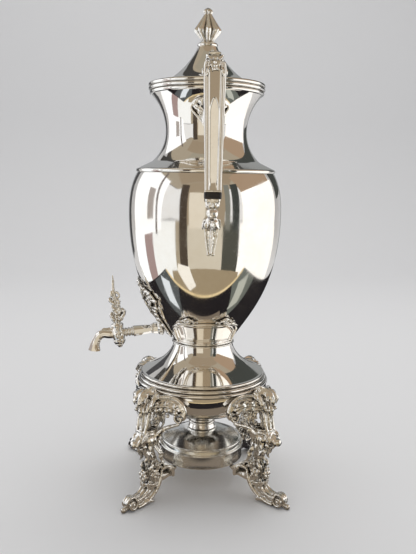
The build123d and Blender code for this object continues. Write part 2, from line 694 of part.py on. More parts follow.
def tail():
    """Socket under the lower insulator, a ball, a leaf collar and a tail that lies on the belly."""
    socket_foot = insulator_foot - socket_height
    half = strap_thickness / 2
    rim_depth, rim_half = half + insulator_overhang, strap_half_foot - insulator_overhang
    socket = limb([(handle_reach, insulator_foot, rim_depth, rim_half),
                   (handle_reach - 0.3 * half, insulator_foot - 0.5 * socket_height, half * 1.4, rim_half),
                   (handle_reach - 0.7 * half, socket_foot, half, strap_half_foot * 0.62)])
    ball_height = socket_foot - ball_of_handle_radius * 0.8
    ball = Pos(handle_reach - half, 0, ball_height) * Sphere(ball_of_handle_radius)
    foot = insulator_foot
    clear = handle_reach - belly_radius
    curl = limb([(belly_radius + 0.737 * clear, foot - 0.33 * tail_length, half, strap_half_foot * 0.62),
                 (belly_radius + 0.473 * clear, foot - 0.44 * tail_length, 1.5 * half, strap_half_foot),
                 (belly_radius + 0.311 * clear, foot - 0.53 * tail_length, 1.1 * half, strap_half_foot * 0.8),
                 (belly_radius + 0.152 * clear, foot - 0.7 * tail_length, 0.9 * half, strap_half_foot * 0.6),
                 (tail_tip_reach + 0.4 * half, foot - 0.88 * tail_length, 0.6 * half, strap_half_foot * 0.42),
                 (tail_tip_reach, foot - tail_length, 0.4 * half, strap_half_foot * 0.3)])
    above = Pos(handle_reach, 0, insulator_foot) * Box(belly_radius, belly_radius, socket_height, align=low)
    return socket + ball + curl - inside_belly - above


insulator_pair = (
    ("upper", block(arm_frame, arm_thickness + insulator_overhang, arm_half + insulator_overhang,
                    bracket_length, bracket_length + insulator_height)),
    ("lower", block(strap_way, strap_thickness + insulator_overhang, strap_half_foot + insulator_overhang,
                    0, insulator_height)),
)
whole_strap, whole_bracket, whole_tail = strap() - pin_holes, bracket() - pin_holes, tail() - pin_holes
for name, turn in (("right", 0), ("left", 180)):
    solids["handle_bracket_" + name] = Rot(0, 0, turn) * whole_bracket
    solids["handle_strap_" + name] = Rot(0, 0, turn) * whole_strap
    solids["handle_tail_" + name] = Rot(0, 0, turn) * whole_tail
    for place, insulator in insulator_pair:
        solids["insulator_" + place + "_" + name] = Rot(0, 0, turn) * (insulator - pin_holes)
solids["handle_pins"] = Compound(children=[Rot(0, 0, turn) * pin for turn in (0, 180) for pin in all_pins])

# Tap: a tube through the belly, a nut, a cock with its turning plug and key, and a spout
nut_face = RegularPolygon(tap_nut_radius, 8)
tap_nut = tap_frame * extrude(nut_face, tap_nut_length)
solids["tap_nut"] = tap_nut - along_tap(shank_radius + fit, -wall, tap_nut_length + wall)

barrel_start = tap_nut_length
barrel_end = barrel_start + barrel_length
cock_wall = cock_distance - cock_radius
barrel = along_tap(barrel_root_radius, barrel_start, barrel_end, barrel_tip_radius)
barrel += along_tap(shank_radius, -shank_length, barrel_start)
barrel += along_tap(neck_radius * 0.8, barrel_end, cock_wall + wall)
ring_pitch = (cock_wall - barrel_end) / barrel_rings
for i in range(barrel_rings):
    ring_place = Pos(0, 0, barrel_end + ring_pitch * (i + 0.5))
    barrel += tap_frame * ring_place * Torus(neck_radius * 0.8, ring_pitch * 0.4)
barrel += tap_frame * Pos(0, 0, barrel_start + wall) * Torus(barrel_root_radius, wall * 0.9)


def cone_of_plug(gap):
    """The plug's cone in its own frame, or the hole for it."""
    slope_of_cone = (plug_top_radius - plug_foot_radius) / (2 * cock_half_height)
    reach = cock_half_height + (wall if gap else 0)
    past = slope_of_cone * (reach - cock_half_height)
    return cock_frame * Cone(plug_foot_radius - past + gap, plug_top_radius + past + gap, 2 * reach)


shell = [(plug_foot_radius, -1.0), (0.8 * cock_radius, -1.0), (0.92 * cock_radius, -0.75),
         (0.84 * cock_radius, -0.55), (cock_radius, -0.3), (cock_radius, 0.4), (0.86 * cock_radius, 0.6),
         (0.96 * cock_radius, 0.8), (0.88 * cock_radius, 1.0), (plug_foot_radius, 1.0)]
cock = cock_frame * turned_points(*[(radius, share * cock_half_height) for radius, share in shell])
cock = cock + cock_frame * Cylinder(plug_top_radius, 2 * cock_half_height)
cock_body = cock - cone_of_plug(fit) - along_tap(port_radius, 0, cock_distance * 2)
solids["tap_barrel"] = barrel - cock - along_tap(port_radius, -shank_length - wall, cock_distance)
solids["tap_cock"] = cock_body

spout_path = [(-0.86, 16.1), (-0.65, 15.9), (-0.38, 16.3), (-0.2, 13.9), (-0.08, 8.9), (-0.02, 4.3), (0, 0)]
spout_span = spout_reach - tap_flange_reach - cock_distance * cos(slope)
spout_points = [(0, -spout_reach - share * spout_span, spout_mouth_height + rise)
                for share, rise in spout_path]
spout_sizes = [spout_radius * size for size in (1.02, 1.04, 1.0, 0.96, 1.0, 1.14)] + [spout_mouth_radius]
spout_bores = [spout_bore_radius * size for size in (1, 1, 1, 1.05, 1.2, 1.55)] + [spout_mouth_bore_radius]
spout = horn(spout_points, spout_sizes) - cock - horn(spout_points, spout_bores)
solids["tap_spout"] = spout

plug = cone_of_plug(0) - cock_frame * Rot(0, 90, 0) * Cylinder(port_radius, cock_radius * 3)
plug += cock_frame * Pos(0, 0, cock_half_height) * Cylinder(plug_top_radius * 0.9, rest_gap + wall, align=low)
plug += cock_frame * Pos(0, 0, -cock_half_height) * Cylinder(plug_foot_radius * 0.8, rest_gap, align=high)
solids["tap_plug"] = plug

key_foot = cock_half_height + rest_gap + wall
key_stations = [(0, 0, 0.62, 0.66), (0.14, 0.1, 0.78, 0.5), (0.28, 0.24, 1.0, 0.44), (0.02, 0.36, 0.52, 0.38),
                (-0.14, 0.5, 0.8, 0.44), (0.12, 0.64, 0.62, 0.36), (0.2, 0.72, 0.3, 0.24),
                (0.28, 0.86, 0.19, 0.17), (0.36, 1.0, 0.07, 0.07)]
key_sections = []
for inward, up, along, across in key_stations:
    height = key_foot + up * (key_rise - rest_gap - wall)
    key_sections.append(cock_frame * Pos(0, inward * key_half, height)
                        * Ellipse(across * key_half, along * key_half))
below_key = cock_frame * Pos(0, 0, key_foot - wall) * Cylinder(plug_top_radius * 2, wall, align=low)
solids["tap_key"] = loft(key_sections) - below_key

washer_top = -cock_half_height - rest_gap
screw_top = washer_top - washer_thickness
washer = Cylinder(plug_foot_radius * 1.3, washer_thickness, align=high)
screw_head = Cone(plug_foot_radius * 0.5, plug_foot_radius, screw_height, align=high)
solids["tap_washer"] = cock_frame * Pos(0, 0, washer_top) * washer
solids["tap_screw"] = cock_frame * Pos(0, 0, screw_top) * screw_head

# Strainer inside the belly: a pierced cap on the end of the tap's tube
strainer_radius = shank_radius + fit + wall / 2
strainer_end = -shank_length - strainer_length
strainer = along_tap(strainer_radius, strainer_end, strainer_grip - shank_length)
strainer -= along_tap(shank_radius + fit, strainer_end + wall / 2, wall)
for i in range(strainer_holes):
    place = Rot(0, 0, 360 / strainer_holes * i) * Pos(strainer_radius / 2, 0, strainer_end)
    strainer -= tap_frame * place * Cylinder(strainer_hole_radius, wall * 4)
solids["tap_strainer"] = strainer

for name, solid in solids.items():
    export_step(solid, "parts/" + name + ".step")
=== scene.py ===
from math import cos, pi, radians, sin
import bmesh
import bpy
import numpy as np
from mathutils import Matrix, Vector


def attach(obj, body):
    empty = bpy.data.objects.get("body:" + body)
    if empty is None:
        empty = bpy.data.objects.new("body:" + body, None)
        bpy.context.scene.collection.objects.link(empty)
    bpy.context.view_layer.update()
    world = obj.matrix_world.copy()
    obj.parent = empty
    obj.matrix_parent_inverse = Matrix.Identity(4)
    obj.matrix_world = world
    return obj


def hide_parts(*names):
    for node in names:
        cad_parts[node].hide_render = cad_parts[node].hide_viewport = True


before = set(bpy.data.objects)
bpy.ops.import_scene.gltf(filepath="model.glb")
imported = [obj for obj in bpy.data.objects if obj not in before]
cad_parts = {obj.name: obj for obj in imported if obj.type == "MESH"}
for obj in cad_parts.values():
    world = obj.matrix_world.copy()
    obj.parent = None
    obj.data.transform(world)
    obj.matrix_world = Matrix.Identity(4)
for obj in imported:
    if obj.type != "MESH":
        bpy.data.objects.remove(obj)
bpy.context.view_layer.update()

# A silver-plated coffee urn on a four-legged stand, in metres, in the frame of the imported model. The
# origin is on the floor on the axis of the vase, the tap points along -Y and the handles along +X and -X.

# The view
# The lens stands level with the urn's shoulder, in front of the right handle and a little towards the
# tap. It looks slightly down, and is tilted by a degree.
picture_height = 554            # pixels
focal_length = 660              # pixels
sensor = 36.0
eye_distance = 0.6323
eye_height = 0.3009
eye_turn = radians(4.0)         # from the handle towards the tap
look_down = radians(8.79)
look_aside = radians(0.35)
lean = radians(0.95)
lens = bpy.data.cameras.new("lens")
lens.sensor_width = sensor
lens.lens = focal_length / picture_height * sensor
lens.clip_start = 0.01
eye = bpy.data.objects.new("eye", lens)
eye.matrix_world = (
    Matrix.Translation((eye_distance * cos(eye_turn), -eye_distance * sin(eye_turn), eye_height))
    @ Matrix.Rotation(pi / 2 - eye_turn - look_aside, 4, "Z")
    @ Matrix.Rotation(pi / 2 - look_down, 4, "X")
    @ Matrix.Rotation(lean, 4, "Z")
)
bpy.context.scene.collection.objects.link(eye)
bpy.context.scene.camera = eye

# Stand drum
# A shallow bowl of silver-plated sheet, raised on a lathe and open below, where the flame's heat enters.
# It is highly polished, with the faint waves of raising, a bloom of tarnish and hairline wiping marks.
mm = 0.001
wall = 1.0 * mm
drum_foot = 70 * mm
drum_top = 101 * mm
drum_mouth = 27 * mm
drum_radius = 63 * mm


def curve(start, end, lead, tail, steps=28):
    """A smooth line from start to end, as (radius, height). Lead and tail are shares of its span."""
    start, end = np.array(start), np.array(end)
    span = end - start
    share = np.linspace(0, 1, steps)[:, None]
    first, second = start + np.array(lead) * span, start + np.array(tail) * span
    return ((1 - share) ** 3 * start + 3 * (1 - share) ** 2 * share * first
            + 3 * (1 - share) * share ** 2 * second + share ** 3 * end)


def shell(line, thickness):
    """The closed outline of a sheet whose outer face is this line, from its foot to its top."""
    along = np.gradient(line, axis=0)
    along /= np.linalg.norm(along, axis=1)[:, None]
    inner = line + np.stack([-along[:, 1], along[:, 0]], axis=1) * thickness
    inner[:, 1] = np.clip(inner[:, 1], line[0, 1], line[-1, 1])
    return np.vstack([line, inner[::-1], line[:1]])


def node(tree, kind, inputs=None, **settings):
    """A new node with its settings. An input takes a value or another node's socket."""
    made = tree.nodes.new(kind)
    for name, value in settings.items():
        setattr(made, name, value)
    for name, value in (inputs or {}).items():
        if isinstance(value, bpy.types.NodeSocket):
            tree.links.new(value, made.inputs[name])
        else:
            made.inputs[name].default_value = value
    return made


def sockets(tree, **named):
    """The group's own inputs and outputs: each name gives (in or out, kind, value)."""
    for name, (way, kind, value) in named.items():
        made = tree.interface.new_socket(name, in_out=way, socket_type="NodeSocket" + kind)
        if value is not None:
            made.default_value = value
    return tree.nodes.new("NodeGroupInput"), tree.nodes.new("NodeGroupOutput")


def maths(tree, operation, *values, kind="ShaderNodeMath", **settings):
    """The result of a sum of values and sockets."""
    return node(tree, kind, dict(enumerate(values)), operation=operation, **settings).outputs[0]


def ranged(tree, value, *limits):
    """A value carried from one range to another, given as from low, from high, to low and to high."""
    names = ("From Min", "From Max", "To Min", "To Max")
    return node(tree, "ShaderNodeMapRange", {"Value": value, **dict(zip(names, limits))}).outputs[0]


def wired(tree, into, **made):
    """Joins sockets to the inputs of a node, by name."""
    for name, socket in made.items():
        tree.links.new(socket, into.inputs[name.replace("_", " ")])


def ended(tree, geometry, given, result, name):
    """The end of a tree of geometry nodes: its real geometry, in its finish."""
    real = node(tree, "GeometryNodeRealizeInstances", {"Geometry": geometry}).outputs[0]
    coated = node(tree, "GeometryNodeSetMaterial", {"Geometry": real, "Material": given.outputs["Finish"]})
    wired(tree, result, **{name: coated.outputs[0]})
    return tree


def lathe_tree():
    """Geometry nodes that turn the points of an outline round Z, and weld the seam and the poles."""
    tree = bpy.data.node_groups.new("turned on the lathe", "GeometryNodeTree")
    given, result = sockets(tree, Outline=("INPUT", "Geometry", None), Facets=("INPUT", "Int", 160),
                            Finish=("INPUT", "Material", None), Turned=("OUTPUT", "Geometry", None))
    outline, facets = given.outputs["Outline"], given.outputs["Facets"]
    count = node(tree, "GeometryNodeAttributeDomainSize", {"Geometry": outline}).outputs[0]
    columns = maths(tree, "ADD", facets, 1.0)
    grid = node(tree, "GeometryNodeMeshGrid", {"Vertices X": columns, "Vertices Y": count})
    index = node(tree, "GeometryNodeInputIndex").outputs[0]
    column = maths(tree, "DIVIDE_FLOOR", index, count, kind="FunctionNodeIntegerMath")
    row = maths(tree, "MODULO", index, count, kind="FunctionNodeIntegerMath")
    place = node(tree, "GeometryNodeInputPosition").outputs[0]
    sampled = node(tree, "GeometryNodeSampleIndex", {"Geometry": outline, "Value": place, "Index": row},
                   data_type="FLOAT_VECTOR")
    angle = maths(tree, "MULTIPLY", maths(tree, "DIVIDE", column, facets), 2 * pi)
    turn = node(tree, "ShaderNodeVectorRotate", {"Vector": sampled.outputs["Value"], "Angle": angle},
                rotation_type="Z_AXIS").outputs[0]
    moved = node(tree, "GeometryNodeSetPosition", {"Geometry": grid.outputs["Mesh"], "Position": turn})
    weld = node(tree, "GeometryNodeMergeByDistance", {"Geometry": moved.outputs[0], "Distance": 0.01 * mm})
    return ended(tree, weld.outputs[0], given, result, "Turned")


def grown(mesh, tree, **values):
    """The mesh that a tree makes of another, with the tree's inputs set by name."""
    seed = bpy.data.objects.new("seed", mesh)
    bpy.context.scene.collection.objects.link(seed)
    growth = seed.modifiers.new("growth", "NODES")
    growth.node_group = tree
    for item in tree.interface.items_tree:
        if item.name.lower().replace(" ", "_") in values:
            growth[item.identifier] = values[item.name.lower().replace(" ", "_")]
    view = bpy.context.evaluated_depsgraph_get()
    made = bpy.data.meshes.new_from_object(seed.evaluated_get(view))
    seed.modifiers.remove(growth)
    bpy.data.objects.remove(seed)
    return made


def assembled(name, mesh, finish, nodes, body="urn", slot="silver", crease=40):
    """A piece from a mesh: its faces turned outwards, smooth but for its creases, in one finish."""
    work = bmesh.new()
    work.from_mesh(mesh)
    bmesh.ops.recalc_face_normals(work, faces=work.faces)
    work.to_mesh(mesh)
    work.free()
    mesh.shade_smooth()
    mesh.set_sharp_from_angle(angle=radians(crease))
    mesh.materials.clear()
    mesh.materials.append(finish)
    piece = bpy.data.objects.new(name, mesh)
    bpy.context.scene.collection.objects.link(piece)
    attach(piece, body)
    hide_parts(*nodes)


lathe = lathe_tree()


def turned_mesh(outline, finish, facets=160):
    """The mesh of a turned piece, from the (radius, height) points of its outline."""
    points = [(radius, 0, height) for radius, height in outline]
    profile = bpy.data.meshes.new("profile")
    profile.from_pydata(points, [], [])
    return grown(profile, lathe, facets=facets, finish=finish)


def noise(tree, place, scale, detail, **more):
    """The value of a soft random pattern."""
    inputs = {"Vector": place, "Scale": scale, "Detail": detail, **more}
    return node(tree, "ShaderNodeTexNoise", inputs).outputs[0]


def blend(tree, share, first, second):
    """A colour between two colours."""
    made = node(tree, "ShaderNodeMix", {"Factor": share, "A": first, "B": second}, data_type="RGBA")
    return made.outputs["Result"]


def bump(tree, height, depth, **more):
    """The relief of a height, this deep in metres."""
    return node(tree, "ShaderNodeBump", {"Height": height, "Distance": depth, **more}).outputs[0]


def worn_polish_group():
    """Smudges and wiping marks, as a roughness and a height, and a mask for the bloom of tarnish."""
    tree = bpy.data.node_groups.new("worn polish", "ShaderNodeTree")
    given, result = sockets(tree, Roughness=("INPUT", "Float", 0.07), Smudge=("INPUT", "Float", 0.08),
                            Waves=("INPUT", "Float", 1.0), Polished=("OUTPUT", "Float", None),
                            Height=("OUTPUT", "Float", None), Bloom=("OUTPUT", "Float", None))
    place = node(tree, "ShaderNodeTexCoord").outputs["Object"]
    smudge = noise(tree, place, 34.0, 5.0, Roughness=0.62, Distortion=0.6)
    soft = ranged(tree, smudge, 0.42, 0.78)
    waves = noise(tree, place, 22.0, 1.0, Roughness=0.3)
    marks = []
    for turn, squeeze in ((0.35, (90.0, 900.0, 420.0)), (1.9, (700.0, 60.0, 900.0))):
        laid = node(tree, "ShaderNodeMapping",
                    {"Vector": place, "Rotation": (turn, turn * 0.7, turn), "Scale": squeeze}).outputs[0]
        marks.append(ranged(tree, noise(tree, laid, 1.0, 2.0), 0.66, 0.74))
    hair = maths(tree, "MAXIMUM", *marks)
    rough = maths(tree, "MULTIPLY_ADD", soft, given.outputs["Smudge"], given.outputs["Roughness"])
    lined = maths(tree, "MULTIPLY_ADD", hair, 0.1, rough)
    tall = maths(tree, "MULTIPLY", waves, given.outputs["Waves"])
    cut = maths(tree, "MULTIPLY_ADD", hair, -0.004, tall)
    haze = ranged(tree, noise(tree, place, 13.0, 6.0, Roughness=0.68), 0.45, 0.75)
    wired(tree, result, Polished=lined, Height=cut, Bloom=haze)
    return tree


worn_polish = worn_polish_group()


def new_finish(name):
    """A material with its shader, ready for its colour and relief."""
    finish = bpy.data.materials.new(name)
    finish.use_nodes = True
    return finish, finish.node_tree, finish.node_tree.nodes["Principled BSDF"]


def polished_metal(name, clean, tarnish, roughness, smudge, waves, bloom_share):
    """Polished sheet: the clean colour, veiled by tarnish in soft patches, with waves and wiping marks."""
    finish, tree, surface = new_finish(name)
    marks = node(tree, "ShaderNodeGroup", {"Roughness": roughness, "Smudge": smudge, "Waves": waves},
                 node_tree=worn_polish).outputs
    colour = blend(tree, maths(tree, "MULTIPLY", marks["Bloom"], bloom_share), clean, tarnish)
    relief = bump(tree, marks["Height"], 0.35 * mm, Strength=1.0)
    surface.inputs["Metallic"].default_value = 1.0
    wired(tree, surface, Base_Color=colour, Roughness=marks["Polished"], Normal=relief)
    return finish


silver_clean = (0.93, 0.905, 0.865, 1)
silver_tarnish = (0.72, 0.62, 0.47, 1)
polished_silver = polished_metal("polished silver", silver_clean, silver_tarnish, 0.045, 0.09, 1.0, 0.35)
drum_line = curve((drum_mouth, drum_foot), (drum_radius, drum_top), (0.64, 0.12), (1, 0.545), steps=44)
assembled("drum_sheet", turned_mesh(shell(drum_line, wall), polished_silver), polished_silver, ["stand_drum"],
          crease=32)

# Cast silver
# Every ornament is a casting, chased and silvered. Polishing has left the high places bright, and black
# tarnish and old polish lie in the hollows. Their darkening is painted from how shut in each hollow is, so it
# is partly that tarnish and partly painted shade.


def chasing_group():
    """The fine tool marks and pits of a casting, as a height, and the dark of its hollows: tarnish and
    painted shade.
    """
    tree = bpy.data.node_groups.new("chased with tarnish and painted shade", "ShaderNodeTree")
    given, result = sockets(
        tree, Hollow=("INPUT", "Float", 0.0), Grain=("INPUT", "Float", 420.0), Grime=("INPUT", "Float", 1.0),
        Height=("OUTPUT", "Float", None), Dark=("OUTPUT", "Float", None))
    place, grain = node(tree, "ShaderNodeTexCoord").outputs["Object"], given.outputs["Grain"]
    pits = noise(tree, place, grain, 3.0)
    facets = node(tree, "ShaderNodeTexVoronoi", {"Vector": place, "Scale": grain},
                  feature="SMOOTH_F1").outputs[0]
    height = maths(tree, "MULTIPLY_ADD", facets, 0.6, pits)
    uneven = ranged(tree, noise(tree, place, 170.0, 4.0, Roughness=0.7), 0.3, 0.7, 0.65, 1.25)
    grime = maths(tree, "MULTIPLY", given.outputs["Hollow"], uneven)
    dark = maths(tree, "MULTIPLY", grime, given.outputs["Grime"], use_clamp=True)
    wired(tree, result, Height=height, Dark=dark)
    return tree


chasing = chasing_group()


def cast_metal(name, bright, tarnish_and_shade_colour, reach, grain, grime, roughness, depth=0.45 * mm):
    """Chased metal whose hollows, found within this reach, are dark (tarnish and painted shade) and dull,
    with chasing of this depth.
    """
    finish, tree, surface = new_finish(name)
    # Occlusion and pointiness find the shut-in hollows, where shade falls; their dark colour is painted shade
    # as well as tarnish.
    shade = node(tree, "ShaderNodeAmbientOcclusion", {"Distance": reach}, samples=6).outputs["AO"]
    edge = node(tree, "ShaderNodeNewGeometry").outputs["Pointiness"]
    open_air = ranged(tree, shade, 0.25, 0.84, 1.0, 0.0)
    dip = ranged(tree, edge, 0.4, 0.495, 0.8, 0.0)
    hollow = maths(tree, "ADD", open_air, dip, use_clamp=True)
    marks = node(tree, "ShaderNodeGroup", {"Hollow": hollow, "Grain": grain, "Grime": grime},
                 node_tree=chasing).outputs
    colour = blend(tree, marks["Dark"], bright, tarnish_and_shade_colour)
    rough = ranged(tree, marks["Dark"], 0.0, 1.0, roughness, 0.6)
    relief = bump(tree, marks["Height"], depth, Strength=0.85)
    surface.inputs["Metallic"].default_value = 1.0
    wired(tree, surface, Base_Color=colour, Roughness=rough, Normal=relief)
    return finish


cast_silver = cast_metal(
    "cast silver", (0.97, 0.945, 0.90, 1), (0.055, 0.045, 0.035, 1), 5 * mm, 380.0, 1.0, 0.10)
# The reeds' grooves are darkened by the same mask: painted shade between the reeds, with some tarnish.
reeded_silver = cast_metal(
    "reeded silver", silver_clean, (0.13, 0.10, 0.07, 1), 2 * mm, 900.0, 0.9, 0.06, depth=0.02 * mm)

# Base ring
# A turned moulding of three reeds, each set in from the one below, soldered on the edge of the drum. The
# pedestal stands on it.
ring_foot = drum_top
ring_height = 10.5 * mm
ring_outer = drum_radius + 0.8 * mm
ring_bore = 51 * mm
pedestal_foot = ring_foot + ring_height


def reed(radius, height, half, first=-84, last=84, steps=11):
    """The outline of a half-round moulding, from below to above."""
    angles = np.radians(np.linspace(first, last, steps))
    return np.stack([radius + half * np.cos(angles), height + half * np.sin(angles)], axis=1)


def turned(name, parts, nodes, finish=polished_silver, facets=160, **more):
    """A turned piece that stands for its node, from the parts of its outline."""
    assembled(name, turned_mesh(np.vstack(parts), finish, facets), finish, nodes, crease=32, **more)


reed_half = ring_height / 6
third_inset = 3.6
base_reeds = []
for inset, share, size in ((0, 0.17, 1.0), (1.7, 0.5, 0.9), (third_inset, 0.86, 0.78)):
    half = reed_half * size
    base_reeds.append(reed(ring_outer - inset * mm - half, ring_foot + share * ring_height, half))
turned("base_moulding", [[(ring_bore, ring_foot), (ring_outer - reed_half, ring_foot)], *base_reeds,
                         [(ring_outer - third_inset * mm - reed_half, pedestal_foot),
                          (ring_bore, pedestal_foot), (ring_bore, ring_foot)]], ["base_ring"], reeded_silver)

# Pedestal and its waist ring
# A trumpet of plated sheet, spun and polished. A small reeded moulding ties it to the foot of the vase.
waist = 142.5 * mm
waist_radius = 28.3 * mm
pedestal_line = curve(
    (57 * mm, pedestal_foot), (waist_radius, waist), (0.592, 0.242), (0.976, 0.565), steps=44)
turned("pedestal_sheet", [shell(pedestal_line, wall)], ["pedestal"])
waist_ring_half = 1.5 * mm
waist_ring_foot = waist - 2 * waist_ring_half
waist_ring_bore = float(np.interp(waist_ring_foot, pedestal_line[:, 1], pedestal_line[:, 0])) + 0.06 * mm
turned("waist_moulding", [[(waist_ring_bore, waist_ring_foot)],
                          reed(waist_ring_bore + waist_ring_half * 0.5,
                               waist_ring_foot + waist_ring_half * 0.62, waist_ring_half * 0.6),
                          reed(waist_ring_bore + waist_ring_half * 0.2,
                               waist - waist_ring_half * 0.42, waist_ring_half * 0.42),
                          [(waist_ring_bore, waist), (waist_ring_bore, waist_ring_foot)]],
       ["waist_ring"], reeded_silver)

# Vase
# The belly is raised from one sheet and closed by a flat floor. A small round moulding ties it to the
# waisted neck, which stands on a sloping ledge and flares to the mouth.
belly_radius = 72.2 * mm
belly = 265 * mm
shoulder = 302.5 * mm
shoulder_radius = 64.5 * mm
floor_thickness = 1.2 * mm
belly_line = curve((waist_radius, waist), (belly_radius, belly), (0.223, 0.161), (1, 0.388), steps=64)
shoulder_line = curve((belly_radius, belly), (shoulder_radius, shoulder), (0, 0.48), (0.377, 0.76), steps=30)
body_line = np.vstack([belly_line, shoulder_line[1:]])
body_outline = shell(body_line, wall)[:-1]
on_floor = body_outline[:, 1] > waist + floor_thickness
inner_side = np.arange(len(body_outline)) >= len(body_line)
kept = body_outline[~inner_side | on_floor]
floor_edge = float(np.interp(waist + floor_thickness, belly_line[:, 1], belly_line[:, 0])) - wall
turned("vase_belly", [
    [(0, waist)], kept, [(floor_edge, waist + floor_thickness), (0, waist + floor_thickness)]
], ["body_shell"], facets=224)

shoulder_ring_height = 4 * mm
neck_foot = shoulder + shoulder_ring_height
ring_inner = shoulder_radius - 3.5 * wall
small_reed = shoulder_ring_height / 2
turned("shoulder_moulding", [
    [(ring_inner, shoulder), (shoulder_radius - small_reed, shoulder)],
    reed(shoulder_radius - small_reed / 2, shoulder + small_reed, small_reed * 0.96, -80, 80, 15),
    [(shoulder_radius - small_reed, neck_foot), (ring_inner, neck_foot), (ring_inner, shoulder)]
], ["shoulder_ring"])

ledge_top = (50.5 * mm, neck_foot + 6.3 * mm)
throat = (37.9 * mm, neck_foot + 33.5 * mm)
neck_top = neck_foot + 67 * mm
mouth_radius = 51 * mm
ledge_line = np.linspace((shoulder_radius - wall, neck_foot), ledge_top, 6)
neck_line = curve(ledge_top, throat, (0.556, 0.228), (1, 0.596), steps=36)
flare_line = curve(throat, (mouth_radius, neck_top), (0, 0.377), (0.349, 0.725), steps=36)
neck_outline = shell(np.vstack([ledge_line, neck_line[1:], flare_line[1:]]), wall)
turned("vase_neck", [neck_outline], ["neck_shell"], facets=192)

# Rim
# A heavy turned ring of three reeds, soldered round the mouth, with a step inside on which the lid rests.
rim_radius = 54.1 * mm
rim_height = 10.5 * mm
rim_inner = 49.5 * mm
rim_step = 46 * mm
rim_top = neck_top + rim_height
lid_seat = rim_top - 2 * mm
rim_half = rim_height / 6
rim_reeds = [reed(rim_radius - rim_half - (wall if i == 0 else 0),
                  neck_top + rim_half * (2 * i + 1), rim_half) for i in range(3)]
turned("rim_moulding", [[(rim_step, neck_top), (rim_radius - 2 * rim_half, neck_top)], *rim_reeds,
                        [(rim_inner + wall / 2, rim_top), (rim_inner, rim_top - wall / 2),
                         (rim_inner, lid_seat), (rim_step, lid_seat), (rim_step, neck_top)]],
       ["rim_ring"], reeded_silver, facets=192)

# Lid
# A tent of plated sheet with a flat edge, and a short bezel inside that keeps it central. A nut inside
# holds the finial, which stands on a turned collar.
lid_foot = lid_seat + 0.3 * mm
lid_radius = rim_inner - 0.4 * mm
lid_shoulder = lid_radius - 3.1 * mm
lid_top = lid_foot + wall + 33.1 * mm
lid_tip = 9.3 * mm
cone_line = curve(
    (lid_shoulder, lid_foot + wall), (lid_tip, lid_top), (0.41, 0.065), (0.891, 0.677), steps=36)
inside_cone = shell(cone_line, wall)[len(cone_line):-1]
inside_cone = inside_cone[(inside_cone[:, 1] < lid_top - wall) & (inside_cone[:, 1] > lid_foot)]
turned("lid_sheet", [
    [(lid_shoulder - wall, lid_foot), (lid_radius - wall / 3, lid_foot)],
    reed(lid_radius - wall / 2, lid_foot + wall / 2, wall / 2, -70, 80, 7), cone_line,
    [(2.1 * mm, lid_top), (2.1 * mm, lid_top - wall)], inside_cone, [(lid_shoulder - wall, lid_foot)]
], ["lid"], body="lid")

bezel_radius = rim_step - 0.4 * mm
bezel_foot = lid_foot - 11 * mm
turned("bezel_sheet", [[
    (bezel_radius - wall, bezel_foot), (bezel_radius, bezel_foot), (bezel_radius, lid_foot),
    (bezel_radius - wall, lid_foot), (bezel_radius - wall, bezel_foot)
]], ["lid_bezel"], body="lid")

collar_radius = 9.4 * mm
finial_foot = lid_top + 4 * mm
collar_half = 2 * mm
turned("finial_moulding", [
    [(2.1 * mm, lid_top), (collar_radius - collar_half, lid_top)],
    reed(collar_radius - collar_half, lid_top + collar_half, collar_half, -80, 80, 13),
    [(collar_radius - collar_half, finial_foot), (2.1 * mm, finial_foot), (2.1 * mm, lid_top)]
], ["finial_collar"], body="lid", facets=96)

# Finial
# A cast bud of eight pointed petals over eight narrower ones, drawn in to a small crowned knob. Its stud
# goes through the lid and is held by a nut.
finial_radius = 12.6 * mm
finial_height = 31 * mm
petals = 8
stud_radius = 2 * mm
nut_height = 3 * mm
stud_foot = lid_top - wall - nut_height - wall


def skinned(rings):
    """Corners and faces of a closed skin over rings of points, each joined to the next, with capped ends."""
    rings = np.asarray(rings)
    count, around = rings.shape[:2]
    corners = np.vstack([rings.reshape(-1, 3), rings[0].mean(axis=0), rings[-1].mean(axis=0)])
    faces = []
    for i in range(count - 1):
        for j in range(around):
            k = (j + 1) % around
            faces.append((i * around + j, i * around + k, (i + 1) * around + k, (i + 1) * around + j))
    for j in range(around):
        k = (j + 1) % around
        faces.append((count * around, k, j))
        faces.append((count * around + 1, (count - 1) * around + j, (count - 1) * around + k))
    return corners, faces


def joined(solids):
    """One mesh of several skins, each given as corners and faces."""
    corners, faces, first = [], [], 0
    for points, sides in solids:
        corners.append(points)
        faces.extend([tuple(first + corner for corner in side) for side in sides])
        first += len(points)
    mesh = bpy.data.meshes.new("casting")
    mesh.from_pydata(np.vstack(corners).tolist(), [], faces)
    mesh.validate()
    return mesh


def bud(heights, radii, ridge, around=128):
    """A petalled bud round Z. Ridge is how far the valleys between its petals are drawn in at each height."""
    angle = np.linspace(0, 2 * pi, around, endpoint=False)
    crest = np.abs(np.cos(angle * petals / 2))
    inner_leaf = np.abs(np.cos(angle * petals)) ** 8
    rings = []
    for height, radius, depth in zip(heights, radii, ridge):
        out = radius * (1 - depth * (1 - crest ** 0.8) + depth * 0.22 * inner_leaf * (1 - crest ** 6))
        rings.append(np.stack([out * np.cos(angle), out * np.sin(angle), np.full(around, height)], axis=1))
    return skinned(rings)


